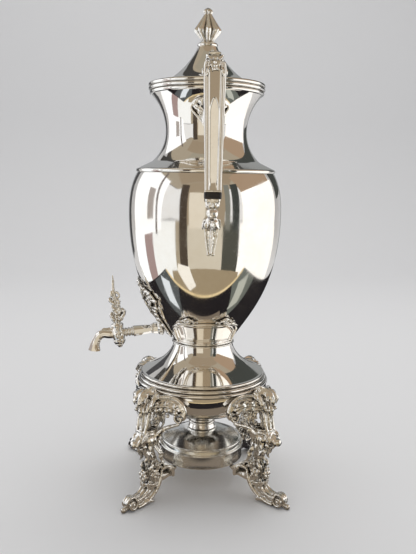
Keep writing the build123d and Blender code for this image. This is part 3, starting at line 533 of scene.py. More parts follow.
share_up = np.linspace(0, 1, 72)
bud_line = np.interp(
    share_up, (0, 0.02, 0.05, 0.12, 0.22, 0.30, 0.35, 0.40, 0.5, 0.66, 0.79, 0.82, 0.87, 0.92, 0.97, 1),
    (0.58, 0.52, 0.47, 0.58, 0.80, 0.96, 1, 0.96, 0.78, 0.52, 0.31, 0.28, 0.36, 0.33, 0.2, 0.03))
bud_ridge = np.interp(
    share_up, (0, 0.06, 0.15, 0.35, 0.6, 0.8, 0.87, 1), (0.1, 0.2, 0.34, 0.44, 0.42, 0.3, 0.34, 0.1))
stud = [[(stud_radius * cos(turn), stud_radius * sin(turn), height)
         for turn in np.linspace(0, 2 * pi, 20)[:-1]] for height in (stud_foot, finial_foot + wall)]
bud_skin = bud(finial_foot + share_up * finial_height, bud_line * finial_radius, bud_ridge)
assembled("finial_bud", joined([bud_skin, skinned(stud)]), cast_silver, ["finial"], "lid", crease=60)

# Legs
# Four castings of one pattern. Each has a column with a curled leaf for a head, two ram's horns that run
# round the drum and end in volutes, a pointed knee, a flower, a leafy ledge for the lamp and a scroll foot.
drum_up = drum_top / mm         # millimetres in this section
drum_side = 66                  # the horns run round the drum at this radius
horn_turn = 27.5                # degrees from the leg's middle to the end of its horn
lamp_clear = 42.4               # the lamp lifts out through this radius
lamp_floor = 23.2
casting_grain = 0.5 * mm


def flanked(side, points):
    """Points on one flank of a casting, from those on its flank towards +Y."""
    return [(x, side * y, *rest) for x, y, *rest in points]


def smooth_line(points, count):
    """A smooth line through points of any number of values, as this many stations."""
    points = np.array(points, float)
    ends = np.vstack([2 * points[0] - points[1], points, 2 * points[-1] - points[-2]])
    place = np.linspace(0, len(points) - 1, count)
    index = np.minimum(place.astype(int), len(points) - 2)
    t = (place - index)[:, None]
    a, b, c, d = (ends[index + i] for i in range(4))
    straight = 2 * b + (c - a) * t
    return 0.5 * (straight + (2 * a - 5 * b + 4 * c - d) * t ** 2 + (3 * b - a - 3 * c + d) * t ** 3)


def framed(centre, side):
    """The directions across and above a line, where side is roughly the way across."""
    along = np.gradient(centre, axis=0)
    along /= np.linalg.norm(along, axis=1)[:, None] + 1e-9
    side = np.broadcast_to(np.asarray(side, float), centre.shape)
    across = side - along * (along * side).sum(axis=1)[:, None]
    across /= np.linalg.norm(across, axis=1)[:, None] + 1e-9
    return across, np.cross(along, across)


def limb(stations, side=(0, 1, 0), count=44, around=10, flutes=0, depth=0.12, twist=0):
    """A solid along stations of x, y, z, half depth and half width, with flutes if it has any."""
    line = smooth_line(stations, count)
    across, above = framed(line[:, :3], side)
    angle = np.linspace(0, 2 * pi, around, endpoint=False)[None, :]
    share = np.linspace(0, 1, count)[:, None]
    cut = 1 - depth * np.abs(np.sin(flutes / 2 * (angle + twist * share))) if flutes else 1
    wide = np.maximum(line[:, 4:5], 0.2) * np.cos(angle) * cut
    deep = np.maximum(line[:, 3:4], 0.2) * np.sin(angle) * cut
    return skinned(line[:, None, :3] + across[:, None] * wide[:, :, None] + above[:, None] * deep[:, :, None])


def leaf(spine, half_width, thickness, side=(0, 1, 0), lobes=2, fold=0.3, count=30, around=24):
    """A chased leaf along a line from its root to its tip, with lobed edges, a midrib and veins."""
    centre = smooth_line(spine, count)
    across, above = framed(centre, side)
    share = np.linspace(0, 1, count)[:, None]
    angle = np.linspace(0, 2 * pi, around, endpoint=False)[None, :]
    spread = np.maximum(np.sin(pi * share ** 0.8) ** 0.65 * (1.05 - 0.45 * share), 0.45 * (1 - share) ** 3)
    scallop = 0.7 + 0.3 * np.abs(np.sin(pi * lobes * share))
    wide = half_width * spread * scallop * np.cos(angle)
    edge = np.abs(np.cos(angle))
    veins = 0.3 * thickness * np.sin(2 * pi * (lobes * share - 1.2 * edge)) * (edge > 0.12)
    rib = 0.6 * thickness * np.exp(-(np.cos(angle) / 0.16) ** 2)
    thick = thickness * (0.35 + 0.65 * (1 - share)) * np.sin(angle)
    chased = (veins + rib) * (1 - share ** 4) * np.sign(np.sin(angle) + 0.01)
    high = thick - fold * half_width * spread * edge ** 1.6 + chased
    return skinned(centre[:, None] + across[:, None] * wide[:, :, None] + above[:, None] * high[:, :, None])


def bead(centre, radius):
    """A round berry."""
    rings = []
    for tilt in np.linspace(-pi / 2 + 0.15, pi / 2 - 0.15, 8):
        angle = np.linspace(0, 2 * pi, 12, endpoint=False)
        rings.append(np.stack(
            [centre[0] + radius * cos(tilt) * np.cos(angle),
             centre[1] + radius * cos(tilt) * np.sin(angle),
             np.full(12, centre[2] + radius * sin(tilt))], axis=1))
    return skinned(rings)


def volute(centre, radius, thick, width, turns, start, out=(1, 0, 0), up=(0, 0, 1)):
    """A band that winds in to an eye, in the plane of the directions out and up."""
    out, up = np.array(out, float), np.array(up, float)
    stations = []
    for share in np.linspace(0, 1, 26):
        angle = start + turns * 2 * pi * share
        reach = radius * (1 - 0.82 * share ** 0.8)
        point = np.array(centre) + reach * (cos(angle) * out + sin(angle) * up)
        size = 1 - 0.45 * share
        stations.append((*point, thick * size, width * (1 - 0.25 * share)))
    eye = limb([(*(np.array(centre) + np.cross(out, up) * width * way * 1.15), radius * 0.2 * size,
                 radius * 0.2 * size) for way, size in ((-1, 0.5), (-0.6, 1), (0.6, 1), (1, 0.5))],
               side=out, count=8)
    return [limb(stations, side=np.cross(out, up), count=60), eye]


def round_drum(angle, height_share, out=0):
    """A point beside the drum, at an angle from the leg's middle."""
    radius = drum_side + out
    return (radius * cos(radians(angle)), radius * sin(radians(angle)), height_share * drum_up)


def flower(centre, face, radius, petals_in_flower=6):
    """A flower with cupped petals and a berry in its middle, which looks along face."""
    face = np.array(face, float)
    first = np.cross(face, (0.3, 0.2, 1))
    first /= np.linalg.norm(first)
    second = np.cross(face, first)
    solids = []
    for i in range(petals_in_flower):
        turn = 2 * pi * i / petals_in_flower
        way = cos(turn) * first + sin(turn) * second
        across = np.cross(face, way)
        root, middle, tip = (np.array(centre) + way * radius * reach + face * rise
                             for reach, rise in ((0.1, 0.2), (0.6, radius * 0.34), (1, radius * 0.1)))
        solids.append(leaf([root, middle, tip], radius * 0.42, 1, side=across, lobes=1, count=14, around=14))
    return solids + [bead(np.array(centre) + face * radius * 0.35, radius * 0.27)]


def ram_horn(side):
    """One horn, with its leaves, the smooth band along its edge and the volute at its end."""
    turn = horn_turn * side
    path = [(0.06, 0.93, 8.6, 5.8), (0.25, 0.955, 4.5, 6), (0.48, 0.965, 1, 5.8), (0.72, 0.955, 0, 5.3),
            (0.92, 0.915, 0, 4.3), (1, 0.86, 0, 3.1), (0.93, 0.81, 0, 2.2)]
    stations = [(*round_drum(turn * share, up, out), size * 0.92, size * 0.92)
                for share, up, out, size in path]
    solids = [limb(stations, side=(1, 0, 0), around=22, flutes=7, depth=0.16, twist=side * 1.4)]
    band = [(*round_drum(turn * (share + 0.03), up + 0.052 * size / 5.8, out + 1.5), 1.5, 1.9)
            for share, up, out, size in path[1:]]
    solids.append(limb(band, side=(1, 0, 0), count=40))
    stops = list(zip(*path))
    for first, width, lift in ((0.02, 6.4, 6.2), (0.26, 6, 5.6), (0.5, 5.2, 5)):
        spine = []
        for step, rise in ((0, 0), (0.14, 1), (0.28, 1.05), (0.4, 0.72)):
            share = first + step
            up, out = (np.interp(share, stops[0], stops[i]) for i in (1, 2))
            spine.append(round_drum(turn * share, up - 0.018, out + lift * (0.55 + 0.45 * rise)))
        solids.append(leaf(spine, width, 2.2, side=(0, 0, 1), fold=0.5, count=40))
        solids += [bead(np.array(spine[step]) + (0, 0, drop), 2.3)
                   for step, drop in ((1, -3.4), (2, -4), (2, 2.6))]
    eye_at = turn * 0.84
    eye = round_drum(eye_at, 0.822, 1)
    sideways = np.array([-sin(radians(eye_at)), cos(radians(eye_at)), 0]) * side
    solids += volute(eye, 5.8, 1.5, 2.6, 1.4, 0.35, out=sideways)
    # a leaf hangs from the horn back to the column, and another curls up from the column's foot
    solids.append(limb([(*round_drum(turn * 0.86, 0.775, 2), 1.3, 1.5), (68, side * 16, 73.5, 1.9, 2),
                        (72, side * 10.5, 68.5, 2.1, 2.3), (75, side * 7, 61, 1.6, 1.8)], count=24))
    solids.append(leaf(flanked(side, [(74, 6, 60), (72, 11, 66), (70, 14, 71), (70, 17, 70)]), 4, 1.4,
                       side=(1, 0, 0.3), fold=0.4, count=24))
    solids += [bead(round_drum(turn * share, 0.885 - 0.02 * i, 4), 1.9)
               for i, share in enumerate((0.3, 0.42, 0.54))]
    return solids


def leg_head():
    """The curled leaf on top of the column, with two smaller leaves beside it and berries under its curl."""
    solids = [leaf([(64.5, 0, 101), (68.5, 0, 106.3), (76, 0, 107.6), (83, 0, 104.6), (86.6, 0, 98.5),
                    (85.2, 0, 93.2)], 8.6, 1.9, lobes=4, fold=0.42, count=56, around=30)]
    for side in (-1, 1):
        solids.append(leaf(flanked(side, [(67, 4, 99), (71, 8, 104), (77, 10.4, 103.5), (82, 11, 98),
                                          (82, 10, 92.5)]), 5.4, 1.5, side=(0.4, 1, 0), lobes=3,
                           fold=0.4, count=44))
        solids.append(leaf(flanked(side, [(72, 5, 96), (78, 6.5, 97), (82.4, 6.2, 92), (83, 5, 86.5)]),
                           4, 1.3, lobes=3))
    solids.append(leaf([(76, 0, 96), (82, 0, 94), (85, 0, 88), (84.4, 0, 82.5)], 4.6, 1.4, lobes=3))
    drops = ((-5.2, 90.5, 1.7), (0, 90, 2), (5.2, 90.5, 1.7), (0, 85.8, 1.6))
    solids += [bead((84.6, y, z), r) for y, z, r in drops]
    return solids


def leg_column():
    """The shaft, its leaf collar, the pointed knee and the drawn-in part below it."""
    solids = [limb([(73.6, 0, 99, 6, 6), (76.4, 0, 90, 6, 5.6), (78.4, 0, 80, 5.8, 5.2),
                    (78.6, 0, 72, 6.2, 5.4), (76.4, 0, 62, 6.6, 5.6), (75.4, 0, 52, 6.2, 5.2),
                    (71.5, 0, 43, 5.8, 4.8), (70, 0, 34, 7.4, 5.6), (70.4, 0, 24, 8.2, 6),
                    (71, 0, 16, 7.2, 5.2), (74, 0, 10, 5.4, 5), (79, 0, 6.6, 3.4, 4)], count=90,
                   around=54, flutes=10, depth=0.24)]
    for side in (-1, 1):
        for spine, width in (([(75, 6, 92), (71.5, 8.5, 86), (69, 8, 79), (70.5, 7, 72.5)], 3.6),
                             ([(70, 6, 90), (66.5, 9.5, 84), (65.4, 10.5, 77), (68, 9, 70.5)], 3.2),
                             ([(72, 4, 74), (67.8, 7.5, 78.5), (66.2, 10.5, 83), (68.2, 12.5, 86.5)], 3)):
            solids.append(leaf(flanked(side, spine), width, 1.4, side=(1, 0.4 * side, 0), lobes=3,
                               fold=0.4, count=34))
        solids += [bead((72.4, side * 7.6, z), 1.6) for z in (75.2, 81.4, 87.6)]
    for height, width, deep in ((70.5, 7.5, 9.6), (67.8, 8, 10.2)):
        ring = [(75.4 + deep * cos(a), width * sin(a), height, 1.15, 1.15)
                for a in np.linspace(0, 2 * pi, 17)]
        solids.append(limb(ring, side=(0, 0, 1), count=50, around=8))
    for angle in range(-150, 181, 30):
        way = np.array([cos(radians(angle)), sin(radians(angle)), 0])
        foot = np.array([75.6, 0, 0])
        solids.append(leaf(
            [foot + way * 5.5 + (0, 0, 67.5), foot + way * 9.2 + (0, 0, 63.5),
             foot + way * 9.8 + (0, 0, 57.5), foot + way * 12 + (0, 0, 52.5)], 3.4, 1.2,
            side=np.cross(way, (0, 0, 1)), fold=0.25, count=26, around=16))
    for side in (-1, 0, 1):
        solids.append(limb(flanked(side, [(74, 5, 97, 1.6, 1.7), (79.2, 5.6, 88, 1.6, 1.7),
                                          (81.4, 5.6, 78, 1.7, 1.7), (84, 4.8, 69, 1.4, 1.5)]), count=34))
    solids.append(limb([(76, 0, 64, 4.6, 5.2), (81, 0, 64.2, 4.6, 5), (86, 0, 62.6, 3.8, 4.2),
                        (90.4, 0, 60.6, 3, 3.4), (92.4, 0, 60, 2, 2.4)], count=40, around=20))
    for fan in (-2, -1, 0, 1, 2):
        solids.append(limb(
            [(80, fan * 1.5, 67.6 - abs(fan) * 0.7, 1.1, 1.2),
             (84.5, fan * 2.1, 67.6 - abs(fan) * 1, 1.1, 1.2),
             (88.8, fan * 1.8, 65.2 - abs(fan) * 0.8, 1.1, 1.2),
             (91.6, fan * 1.4, 62.4 - abs(fan) * 0.4, 1, 1.1)], count=34))
    for reach, height, size in ((83.6, 63.2, 6.4), (87.4, 62, 5.7)):
        solids.append(limb(
            [(reach - 0.3 * size * sin(a), size * cos(a), height + size * 0.92 * sin(a), 1, 1.1)
             for a in np.linspace(-0.7, pi + 0.7, 11)], side=(1, 0, 0), count=40, around=8))
    solids.append(bead((91.9, 0, 60.6), 3.9))
    for side in (-1, 1):
        solids.append(limb(flanked(side, [(84, 4.8, 66.5, 1.2, 1.3), (89, 4.6, 63.4, 1.3, 1.4),
                                          (91.6, 3.8, 59.4, 1.2, 1.3), (88.8, 3.8, 56, 1.1, 1.2),
                                          (84.4, 4.4, 56.4, 1, 1.1)]), count=34))
        solids.append(leaf(flanked(side, [(80, 5.2, 69), (84.6, 6.6, 66.4), (87.6, 6.6, 61.6),
                                          (86.4, 6, 57.6)]), 2.9, 1.2, side=(0.5, 0, 1), lobes=3,
                           fold=0.35, count=28))
        solids += volute((83.5, side * 5.6, 56.8), 5.4, 1.3, 1.6, 1.3, 0.9)
        for spine in ([(84, 4, 53), (79.5, 6.2, 49.5), (76, 7, 43), (78, 8, 38.5)],
                      [(68, 4, 52), (65.2, 6, 46), (64, 7, 39), (60.5, 8, 36)]):
            solids.append(leaf(flanked(side, spine), 3.8, 1.3, side=(1, 0, 0.2), lobes=3, count=28))
    solids.append(leaf(
        [(84, 0, 54), (79, 0, 50), (76.8, 0, 44), (79.4, 0, 38.4)], 4.2, 1.3, lobes=3, count=28))
    return solids


def leg_flowers():
    """The flower on the swelling below the knee, one on each flank, and berries between them."""
    solids = flower((79.6, 0, 27.5), (1, 0, 0.12), 6.3)
    for side in (-1, 1):
        solids += flower((72.5, side * 6.4, 28.5), (0.25, side, 0.1), 5.6, 5)
        solids += [bead((77.6, side * 5.4, z), r) for z, r in ((21.5, 1.6), (34.2, 1.7))]
        solids += [bead((67.5, side * 5.8, z), r) for z, r in ((22.6, 1.6), (34.5, 1.6))]
        solids.append(leaf(flanked(side, [(74, 5.6, 38), (76.6, 6.6, 34.5), (76.2, 6.8, 31)]), 2.4, 1.1,
                           side=(1, 0, 0.2), lobes=1, count=14, around=14))
    solids.append(limb(
        [(62.8, 0, 29, 3.4, 4.2), (66, 0, 33, 4.4, 5.2), (69, 0, 39, 4, 4.6)], count=16, around=14))
    return solids


def lamp_ledge():
    """The shelf under the lamp's edge, faced by a small shell whose fingers hang down."""
    solids = [limb([(70, 0, 19.5, 5.6, 5.8), (60, 0, 19.4, 5, 5.6), (52, 0, 19.4, 3.8, 5.4),
                    (45, 0, 20.6, 2.4, 4.6), (38.6, 0, 21.7, 1.3, 2.8)], count=36, around=18)]
    for fan in (-2, -1, 0, 1, 2):
        solids.append(limb(
            [(62, fan * 1.2, 25.5, 1.6, 1.7), (55.5, fan * 2.3, 28.6, 1.8, 1.9),
             (50.4, fan * 3.1, 26.8, 1.9, 1.9), (48.4, fan * 3.5, 21.5, 1.8, 1.7),
             (48.8, fan * 3.7, 16.2 + abs(fan) * 0.7, 1.3, 1.3)], count=26, around=12))
    shell_edge = [(51.5 + 1.2 * abs(s) ** 2, s * 8.2, 28.6 - 3.2 * abs(s) ** 1.5, 1.2, 1.2)
                  for s in np.linspace(-1, 1, 9)]
    solids.append(limb(shell_edge, side=(1, 0, 0), count=30, around=8))
    solids += volute((60.5, 0, 30.4), 3.8, 1.2, 4.2, 1.1, -0.4, out=(-1, 0, 0))
    return solids


def leg_foot():
    """The shank with its rolled edges, the scroll with its ball, and the pointed toe."""
    solids = [limb([(71, 0, 18, 6.6, 5.2), (74.5, 0, 11, 5.8, 5), (82, 0, 6.6, 4.6, 4.8),
                    (90, 0, 5, 4.2, 4.8), (97, 0, 5.6, 4.4, 4.2), (101.6, 0, 3.6, 2.2, 2.6),
                    (104.6, 0, 2.6, 1.8, 1.8)], around=20)]
    for side in (-1, 1):
        edge = flanked(
            side, [(61.6, 4.6, 27.5, 1.4, 1.5), (63.4, 5.4, 20.5, 1.7, 1.8), (67.6, 5.6, 12.4, 1.8, 1.8),
                   (75.5, 5.4, 6, 1.7, 1.8), (85, 5.2, 2.8, 1.6, 1.8), (92, 5, 2.2, 1.4, 1.6)])
        solids.append(limb(edge))
        ridge = flanked(
            side, [(79.6, 4.2, 20, 1.2, 1.3), (78.4, 4.4, 14.6, 1.3, 1.4), (82.4, 4.4, 10.4, 1.3, 1.4),
                   (89, 4.6, 8.6, 1.2, 1.3), (94, 4.8, 9.8, 1.1, 1.2)])
        solids.append(limb(ridge, count=34))
        solids += volute((97.6, side * 4.9, 6.5), 5.6, 1.25, 1.7, 1.4, 2.6)
        solids.append(leaf(flanked(side, [(84, 4.6, 3), (80.5, 6.2, 4.5), (76.5, 6.9, 3.4),
                                          (73.4, 7, 1.6)]), 2.6, 1.2, side=(0.4, 0, 1), count=20, around=16))
    solids.append(limb([(81, 0, 19.6, 1.2, 1.3), (80, 0, 13.6, 1.4, 1.4), (85, 0, 9.6, 1.4, 1.5),
                        (92, 0, 10, 1.3, 1.6)], count=30))
    for side in (-1, 0, 1):
        solids.append(limb(flanked(side, [(91, 2.4, 8.2, 1.1, 1.2), (94, 2.8, 11.4, 1.2, 1.3),
                                          (98.2, 2.8, 12, 1.2, 1.3), (101.8, 2.4, 9.6, 1.1, 1.2),
                                          (103, 1.6, 5.6, 1, 1.1)]), count=30))
    solids += [bead((97.4, 0, 6.4), 5), bead((105.2, 0, 2.7), 2.5), bead((97.6, 4.4, 6.4), 2.4),
               bead((97.6, -4.4, 6.4), 2.4)]
    for height, size in ((17.6, 7.6), (15.4, 7)):
        ring = [(72.2 + size * cos(a), size * 0.82 * sin(a), height + 1.4 * cos(a), 1, 1)
                for a in np.linspace(0, 2 * pi, 15)]
        solids.append(limb(ring, side=(0, 0, 1), around=8))
    return solids


def melted(solids, grain=casting_grain):
    """One casting from overlapping solids in millimetres: melted together at this grain and softened."""
    mesh = joined(solids)
    mesh.transform(Matrix.Scale(mm, 4))
    pattern = bpy.data.objects.new("pattern", mesh)
    bpy.context.scene.collection.objects.link(pattern)
    melt = pattern.modifiers.new("melt", "REMESH")
    melt.mode = "VOXEL"
    melt.voxel_size = grain
    smooth = pattern.modifiers.new("soften", "SMOOTH")
    smooth.factor, smooth.iterations = 0.5, 1
    made = bpy.data.meshes.new_from_object(pattern.evaluated_get(bpy.context.evaluated_depsgraph_get()))
    bpy.data.objects.remove(pattern)
    return made


def corners_of(mesh):
    """The places of a mesh's corners."""
    points = np.empty(len(mesh.vertices) * 3)
    mesh.vertices.foreach_get("co", points)
    return points.reshape(-1, 3)


def placed(mesh, points):
    """A mesh with its corners moved to these places."""
    mesh.vertices.foreach_set("co", points.ravel())
    mesh.update()
    return mesh


def kept_clear(mesh):
    """Files the casting flat on the floor, and keeps it off the lamp, out of the drum and under its ring."""
    points = corners_of(mesh)
    reach = np.hypot(points[:, 0], points[:, 1])
    height = points[:, 2]
    least_reach = np.zeros(len(points))
    by_drum = (height > drum_foot) & (height < drum_top)
    least_reach[by_drum] = np.interp(height[by_drum], drum_line[:, 1], drum_line[:, 0]) - wall / 2
    by_ring = (height >= drum_top) & (height < pedestal_foot)
    least_reach[by_ring] = ring_outer - wall / 4
    by_lamp = (height > lamp_floor * mm) & (height < drum_foot)
    least_reach[by_lamp] = lamp_clear * mm
    out = np.maximum(least_reach / np.maximum(reach, 1e-6), 1)
    points[:, :2] *= out[:, None]
    ankle = 12 * mm
    sole = points[:, 2].min()
    points[:, 2] -= sole * np.clip((ankle - points[:, 2]) / (ankle - sole), 0, 1)
    return placed(mesh, points)


def turned_about(mesh, turn):
    """A copy of a mesh, turned about the vase's axis."""
    copy = mesh.copy()
    copy.transform(Matrix.Rotation(turn, 4, "Z"))
    return copy


leg_mesh = kept_clear(melted(
    leg_head() + ram_horn(1) + ram_horn(-1) + leg_column() + leg_flowers() + lamp_ledge() + leg_foot()
))
for i, corner in enumerate(("back_right", "back_left", "front_left", "front_right")):
    assembled("leg_casting_" + corner, turned_about(leg_mesh, pi / 4 + i * pi / 2), cast_silver,
              ["leg_" + corner], crease=70)

# Nuts of the legs and the finial
# Four silvered hexagon nuts inside the drum hold the legs' studs, and one inside the lid holds the
# finial's.
leg_nut_radius = 4.2 * mm
leg_nut_height = 3 * mm
finial_nut_radius = 4.2 * mm
leg_stud_height = drum_top - 11 * mm
leg_nut_place = float(np.interp(leg_stud_height - leg_nut_radius, drum_line[:, 1],
                                drum_line[:, 0])) - 1.5 * wall


def round_axis_tree():
    """Geometry nodes that set copies of a piece in a ring round Z."""
    tree = bpy.data.node_groups.new("set in a ring", "GeometryNodeTree")
    given, result = sockets(tree, Piece=("INPUT", "Geometry", None), Count=("INPUT", "Int", 4),
                            First=("INPUT", "Float", 0), Finish=("INPUT", "Material", None),
                            Ring=("OUTPUT", "Geometry", None))
    count = given.outputs["Count"]
    places = node(tree, "GeometryNodeMeshLine", {"Count": count, "Offset": (0, 0, 0)}).outputs[0]
    share = maths(tree, "DIVIDE", node(tree, "GeometryNodeInputIndex").outputs[0], count)
    angle = maths(tree, "MULTIPLY_ADD", share, 2 * pi, given.outputs["First"])
    turn = node(tree, "ShaderNodeCombineXYZ", {"Z": angle}).outputs[0]
    copies = node(tree, "GeometryNodeInstanceOnPoints",
                  {"Points": places, "Instance": given.outputs["Piece"], "Rotation": turn})
    return ended(tree, copies.outputs[0], given, result, "Ring")


round_axis = round_axis_tree()


def nut_skin(radius, height, stud, sides=6):
    """A nut that stands on z 0, with bevelled corners and the rounded end of its stud."""
    angle = np.linspace(0, 2 * pi, sides * 8, endpoint=False)
    flat = radius * cos(pi / sides) / np.cos((angle + pi / sides) % (2 * pi / sides) - pi / sides)
    bevel = np.minimum(flat, radius * (cos(pi / sides) + 1) / 2)
    rings = []
    for reach, up in ((bevel, 0), (flat, 0.1), (flat, 0.84), (bevel * 0.97, 0.97), (bevel * 0.9, 1),
                      (stud + 0 * angle, 1), (stud + 0 * angle, 1.24), (stud * 0.7 + 0 * angle, 1.33)):
        rings.append(np.stack(
            [reach * np.cos(angle), reach * np.sin(angle), up * height + 0 * angle], axis=1))
    return skinned(rings)


corners, faces = nut_skin(leg_nut_radius, leg_nut_height, stud_radius)
corners = np.stack([leg_nut_place - corners[:, 2], corners[:, 1], leg_stud_height + corners[:, 0]], axis=1)
leg_nuts = grown(joined([(corners, faces)]), round_axis, count=4, first=pi / 4, finish=polished_silver)
assembled("leg_stud_nuts", leg_nuts, polished_silver, ["leg_nuts"], crease=25)
corners, faces = nut_skin(finial_nut_radius, nut_height, stud_radius)
finial_nut = joined([(corners * (1, -1, -1) + (0, 0, lid_top - wall), faces)])
assembled("finial_stud_nut", finial_nut, polished_silver, ["finial_nut"], "lid", crease=25)

# Spirit lamp
# A round font of plated sheet with a plain band, and a domed cover with two reeds. The cover's seat takes
# the cap, and a brass tube through its middle holds the wick.
satin_silver = polished_metal(
    "satin silver", (0.96, 0.96, 0.94, 1), (0.62, 0.57, 0.45, 1), 0.17, 0.14, 1, 0.5)
lamp_radius = 40.6 * mm
font_foot = 23.5 * mm
font_top = 35.5 * mm
font_edge = 0.7 * mm
turned("lamp_cup", [[(0, font_foot), (lamp_radius - font_edge, font_foot)],
                    reed(lamp_radius - font_edge, font_foot + font_edge, font_edge, -80, 10, 6),
                    [(lamp_radius - 0.3 * mm, font_foot + 2.2 * mm),
                     (lamp_radius - 0.1 * mm, font_foot + 5 * mm), (lamp_radius, font_top),
                     (lamp_radius - wall, font_top), (lamp_radius - wall, font_foot + wall),
                     (0, font_foot + wall)]], ["lamp_font"], satin_silver, body="lamp")

lamp_bead = 0.9 * mm
dome_foot = font_top + 7.4 * mm
dome_top = dome_foot + 8 * mm
cap_seat_radius = 14.6 * mm
cap_seat = dome_top + lamp_bead
dome_line = curve((36.4 * mm, dome_foot), (cap_seat_radius, dome_top), (0.3, 0.42), (0.62, 0.93), steps=30)
inside_dome = shell(dome_line, wall)[len(dome_line):-1]
inside_dome = inside_dome[(inside_dome[:, 1] < dome_top - wall) & (inside_dome[:, 1] > dome_foot - wall / 2)]
turned("lamp_dome", [[(34.4 * mm, font_top), (lamp_radius - lamp_bead, font_top)],
                     reed(lamp_radius - 0.1 * mm, font_top + lamp_bead, lamp_bead, -84, 84, 11),
                     [(lamp_radius - 1.6 * mm, font_top + 2.2 * lamp_bead),
                      (lamp_radius - 1.9 * mm, font_top + 4.4 * mm)],
                     reed(lamp_radius - 2 * lamp_bead - 0.3 * mm, dome_foot - 1.4 * mm,
                          1.35 * lamp_bead, -70, 140, 13), dome_line,
                     [(cap_seat_radius, cap_seat - 0.2 * mm), (cap_seat_radius - 0.2 * mm, cap_seat),
                      (11.4 * mm, cap_seat), (5.06 * mm, dome_top),
                      (5.06 * mm, dome_top - wall)], inside_dome,
                     [(34.4 * mm, dome_foot), (34.4 * mm, font_top)]], ["lamp_cover"], satin_silver,
       body="lamp")

brass_clean = (0.74, 0.53, 0.25, 1)
brass_tarnish = (0.26, 0.17, 0.08, 1)
dull_brass = polished_metal("dull brass", brass_clean, brass_tarnish, 0.26, 0.25, 0.8, 0.85)
tube_radius = 5 * mm
tube_bore = 3.86 * mm
tube_foot = dome_top - 8 * mm
tube_top = dome_top + 8 * mm
turned("wick_holder", [[(tube_bore, tube_foot), (tube_radius, tube_foot), (tube_radius, dome_top),
                        (tube_radius + 2 * wall, dome_top),
                        (tube_radius + 2 * wall, dome_top + 0.7 * wall),
                        (tube_radius + 1.7 * wall, dome_top + wall), (tube_radius, dome_top + wall),
                        (tube_radius, tube_top - 0.4 * mm), (tube_radius - 0.4 * mm, tube_top),
                        (tube_bore, tube_top), (tube_bore, tube_foot)]], ["wick_tube"], dull_brass,
       body="lamp", slot="brass", facets=64)

# Wick
# Plaited cotton cord, white below and scorched black at its frayed end.
wick_radius = 3.8 * mm
wick_foot = 25.5 * mm
wick_top = 60.8 * mm
wick_strands = 8
char_height = 59 * mm


def scorched_cotton():
    """Pale plaited thread, with a ragged edge to its charred end."""
    finish, tree, surface = new_finish("scorched cotton")
    place = node(tree, "ShaderNodeTexCoord").outputs["Object"]
    height = node(tree, "ShaderNodeSeparateXYZ", {"Vector": place}).outputs["Z"]
    fibres = noise(tree, place, 1900, 3)
    ragged = maths(tree, "MULTIPLY_ADD", fibres, 2 * mm, height)
    char = ranged(tree, ragged, char_height, char_height + 2 * mm)
    thread = blend(tree, fibres, (0.78, 0.74, 0.65, 1), (0.55, 0.48, 0.38, 1))
    colour = blend(tree, char, thread, (0.02, 0.018, 0.016, 1))
    surface.inputs["Roughness"].default_value = 0.95
    wired(tree, surface, Base_Color=colour, Normal=bump(tree, fibres, 0.2 * mm))
    return finish


cotton = scorched_cotton()
angle = np.linspace(0, 2 * pi, 64, endpoint=False)
wick_rings = []
for share in np.linspace(0, 1, 60):
    plait = 0.93 + 0.035 * np.cos(wick_strands * (angle + 9 * share))
    plait += 0.035 * np.cos(wick_strands * (angle - 9 * share))
    frayed = 1 - 0.35 * max(share - 0.93, 0) / 0.07
    out = wick_radius * plait * frayed
    wick_rings.append(np.stack([out * np.cos(angle), out * np.sin(angle),
                                wick_foot + share * (wick_top - wick_foot) + 0 * angle], axis=1))
assembled("wick_cord", joined([skinned(wick_rings)]), cotton, ["wick"], "lamp", "wick", crease=60)

# Snuffer cap
# A turned cap with three reeds and a small knob. It stands over the wick, and lifts off to light the lamp.
cap_foot = cap_seat + 0.3 * mm
cap_radius = 13.4 * mm
cap_top = cap_foot + 15 * mm
cap_side = cap_radius - wall
knob_radius = 3 * mm
knob_height = cap_top + knob_radius / 2
cap_ribs = [reed(cap_side - 0.85 * mm, cap_foot + up * mm, 1.48 * mm, -86, 86, 13)
            for up in (5.9, 8.9, 11.9)]
turned("snuffer", [[(cap_side - wall, cap_foot), (cap_radius - 0.2 * mm, cap_foot),
                    (cap_radius, cap_foot + 0.7 * mm), (cap_side + 0.1 * mm, cap_foot + 2.4 * mm),
                    (cap_side - 0.6 * mm, cap_foot + 4.4 * mm)],
                   *cap_ribs,
                   [(cap_side - 0.4 * mm, cap_top - 1.5 * mm), (cap_side - 1.2 * mm, cap_top - 0.5 * mm),
                    (cap_side - 2.6 * mm, cap_top - 0.1 * mm), (4 * mm, cap_top),
                    (1.9 * mm, cap_top + 0.2 * mm)],
                   reed(0, knob_height, knob_radius, -50, 90, 12),
                   [(0, cap_top - wall), (cap_side - 2 * wall, cap_top - wall),
                    (cap_side - wall, cap_top - 2 * wall), (cap_side - wall, cap_foot)]],
       ["snuffer_cap"], reeded_silver, body="cap", facets=112)

# Aprons
# Under each handle a polished plate wraps the foot of the belly. It has a double rolled edge, and a pair of
# curled leaves on each corner. It is soldered on.
apron_foot = waist / mm         # millimetres in this section
apron_height = 24.5
apron_half_foot = 26
apron_half_top = 30.5
apron_corner = 8.2
scroll_place = 17.5
belly_sheet = belly_line / mm


def on_sheet(line, across, height, out, side=1):
    """Points this far out from a turned sheet, at distances across the middle of its face towards X."""
    across, height = np.broadcast_arrays(np.asarray(across, float), np.asarray(height, float))
    steep = np.sqrt(1 + (np.gradient(line[:, 0]) / np.gradient(line[:, 1])) ** 2)
    reach = np.interp(height, line[:, 1], line[:, 0]) + out * np.interp(height, line[:, 1], steep)
    return np.stack([side * np.sqrt(np.maximum(reach ** 2 - across ** 2, 0)), across, height], axis=-1)


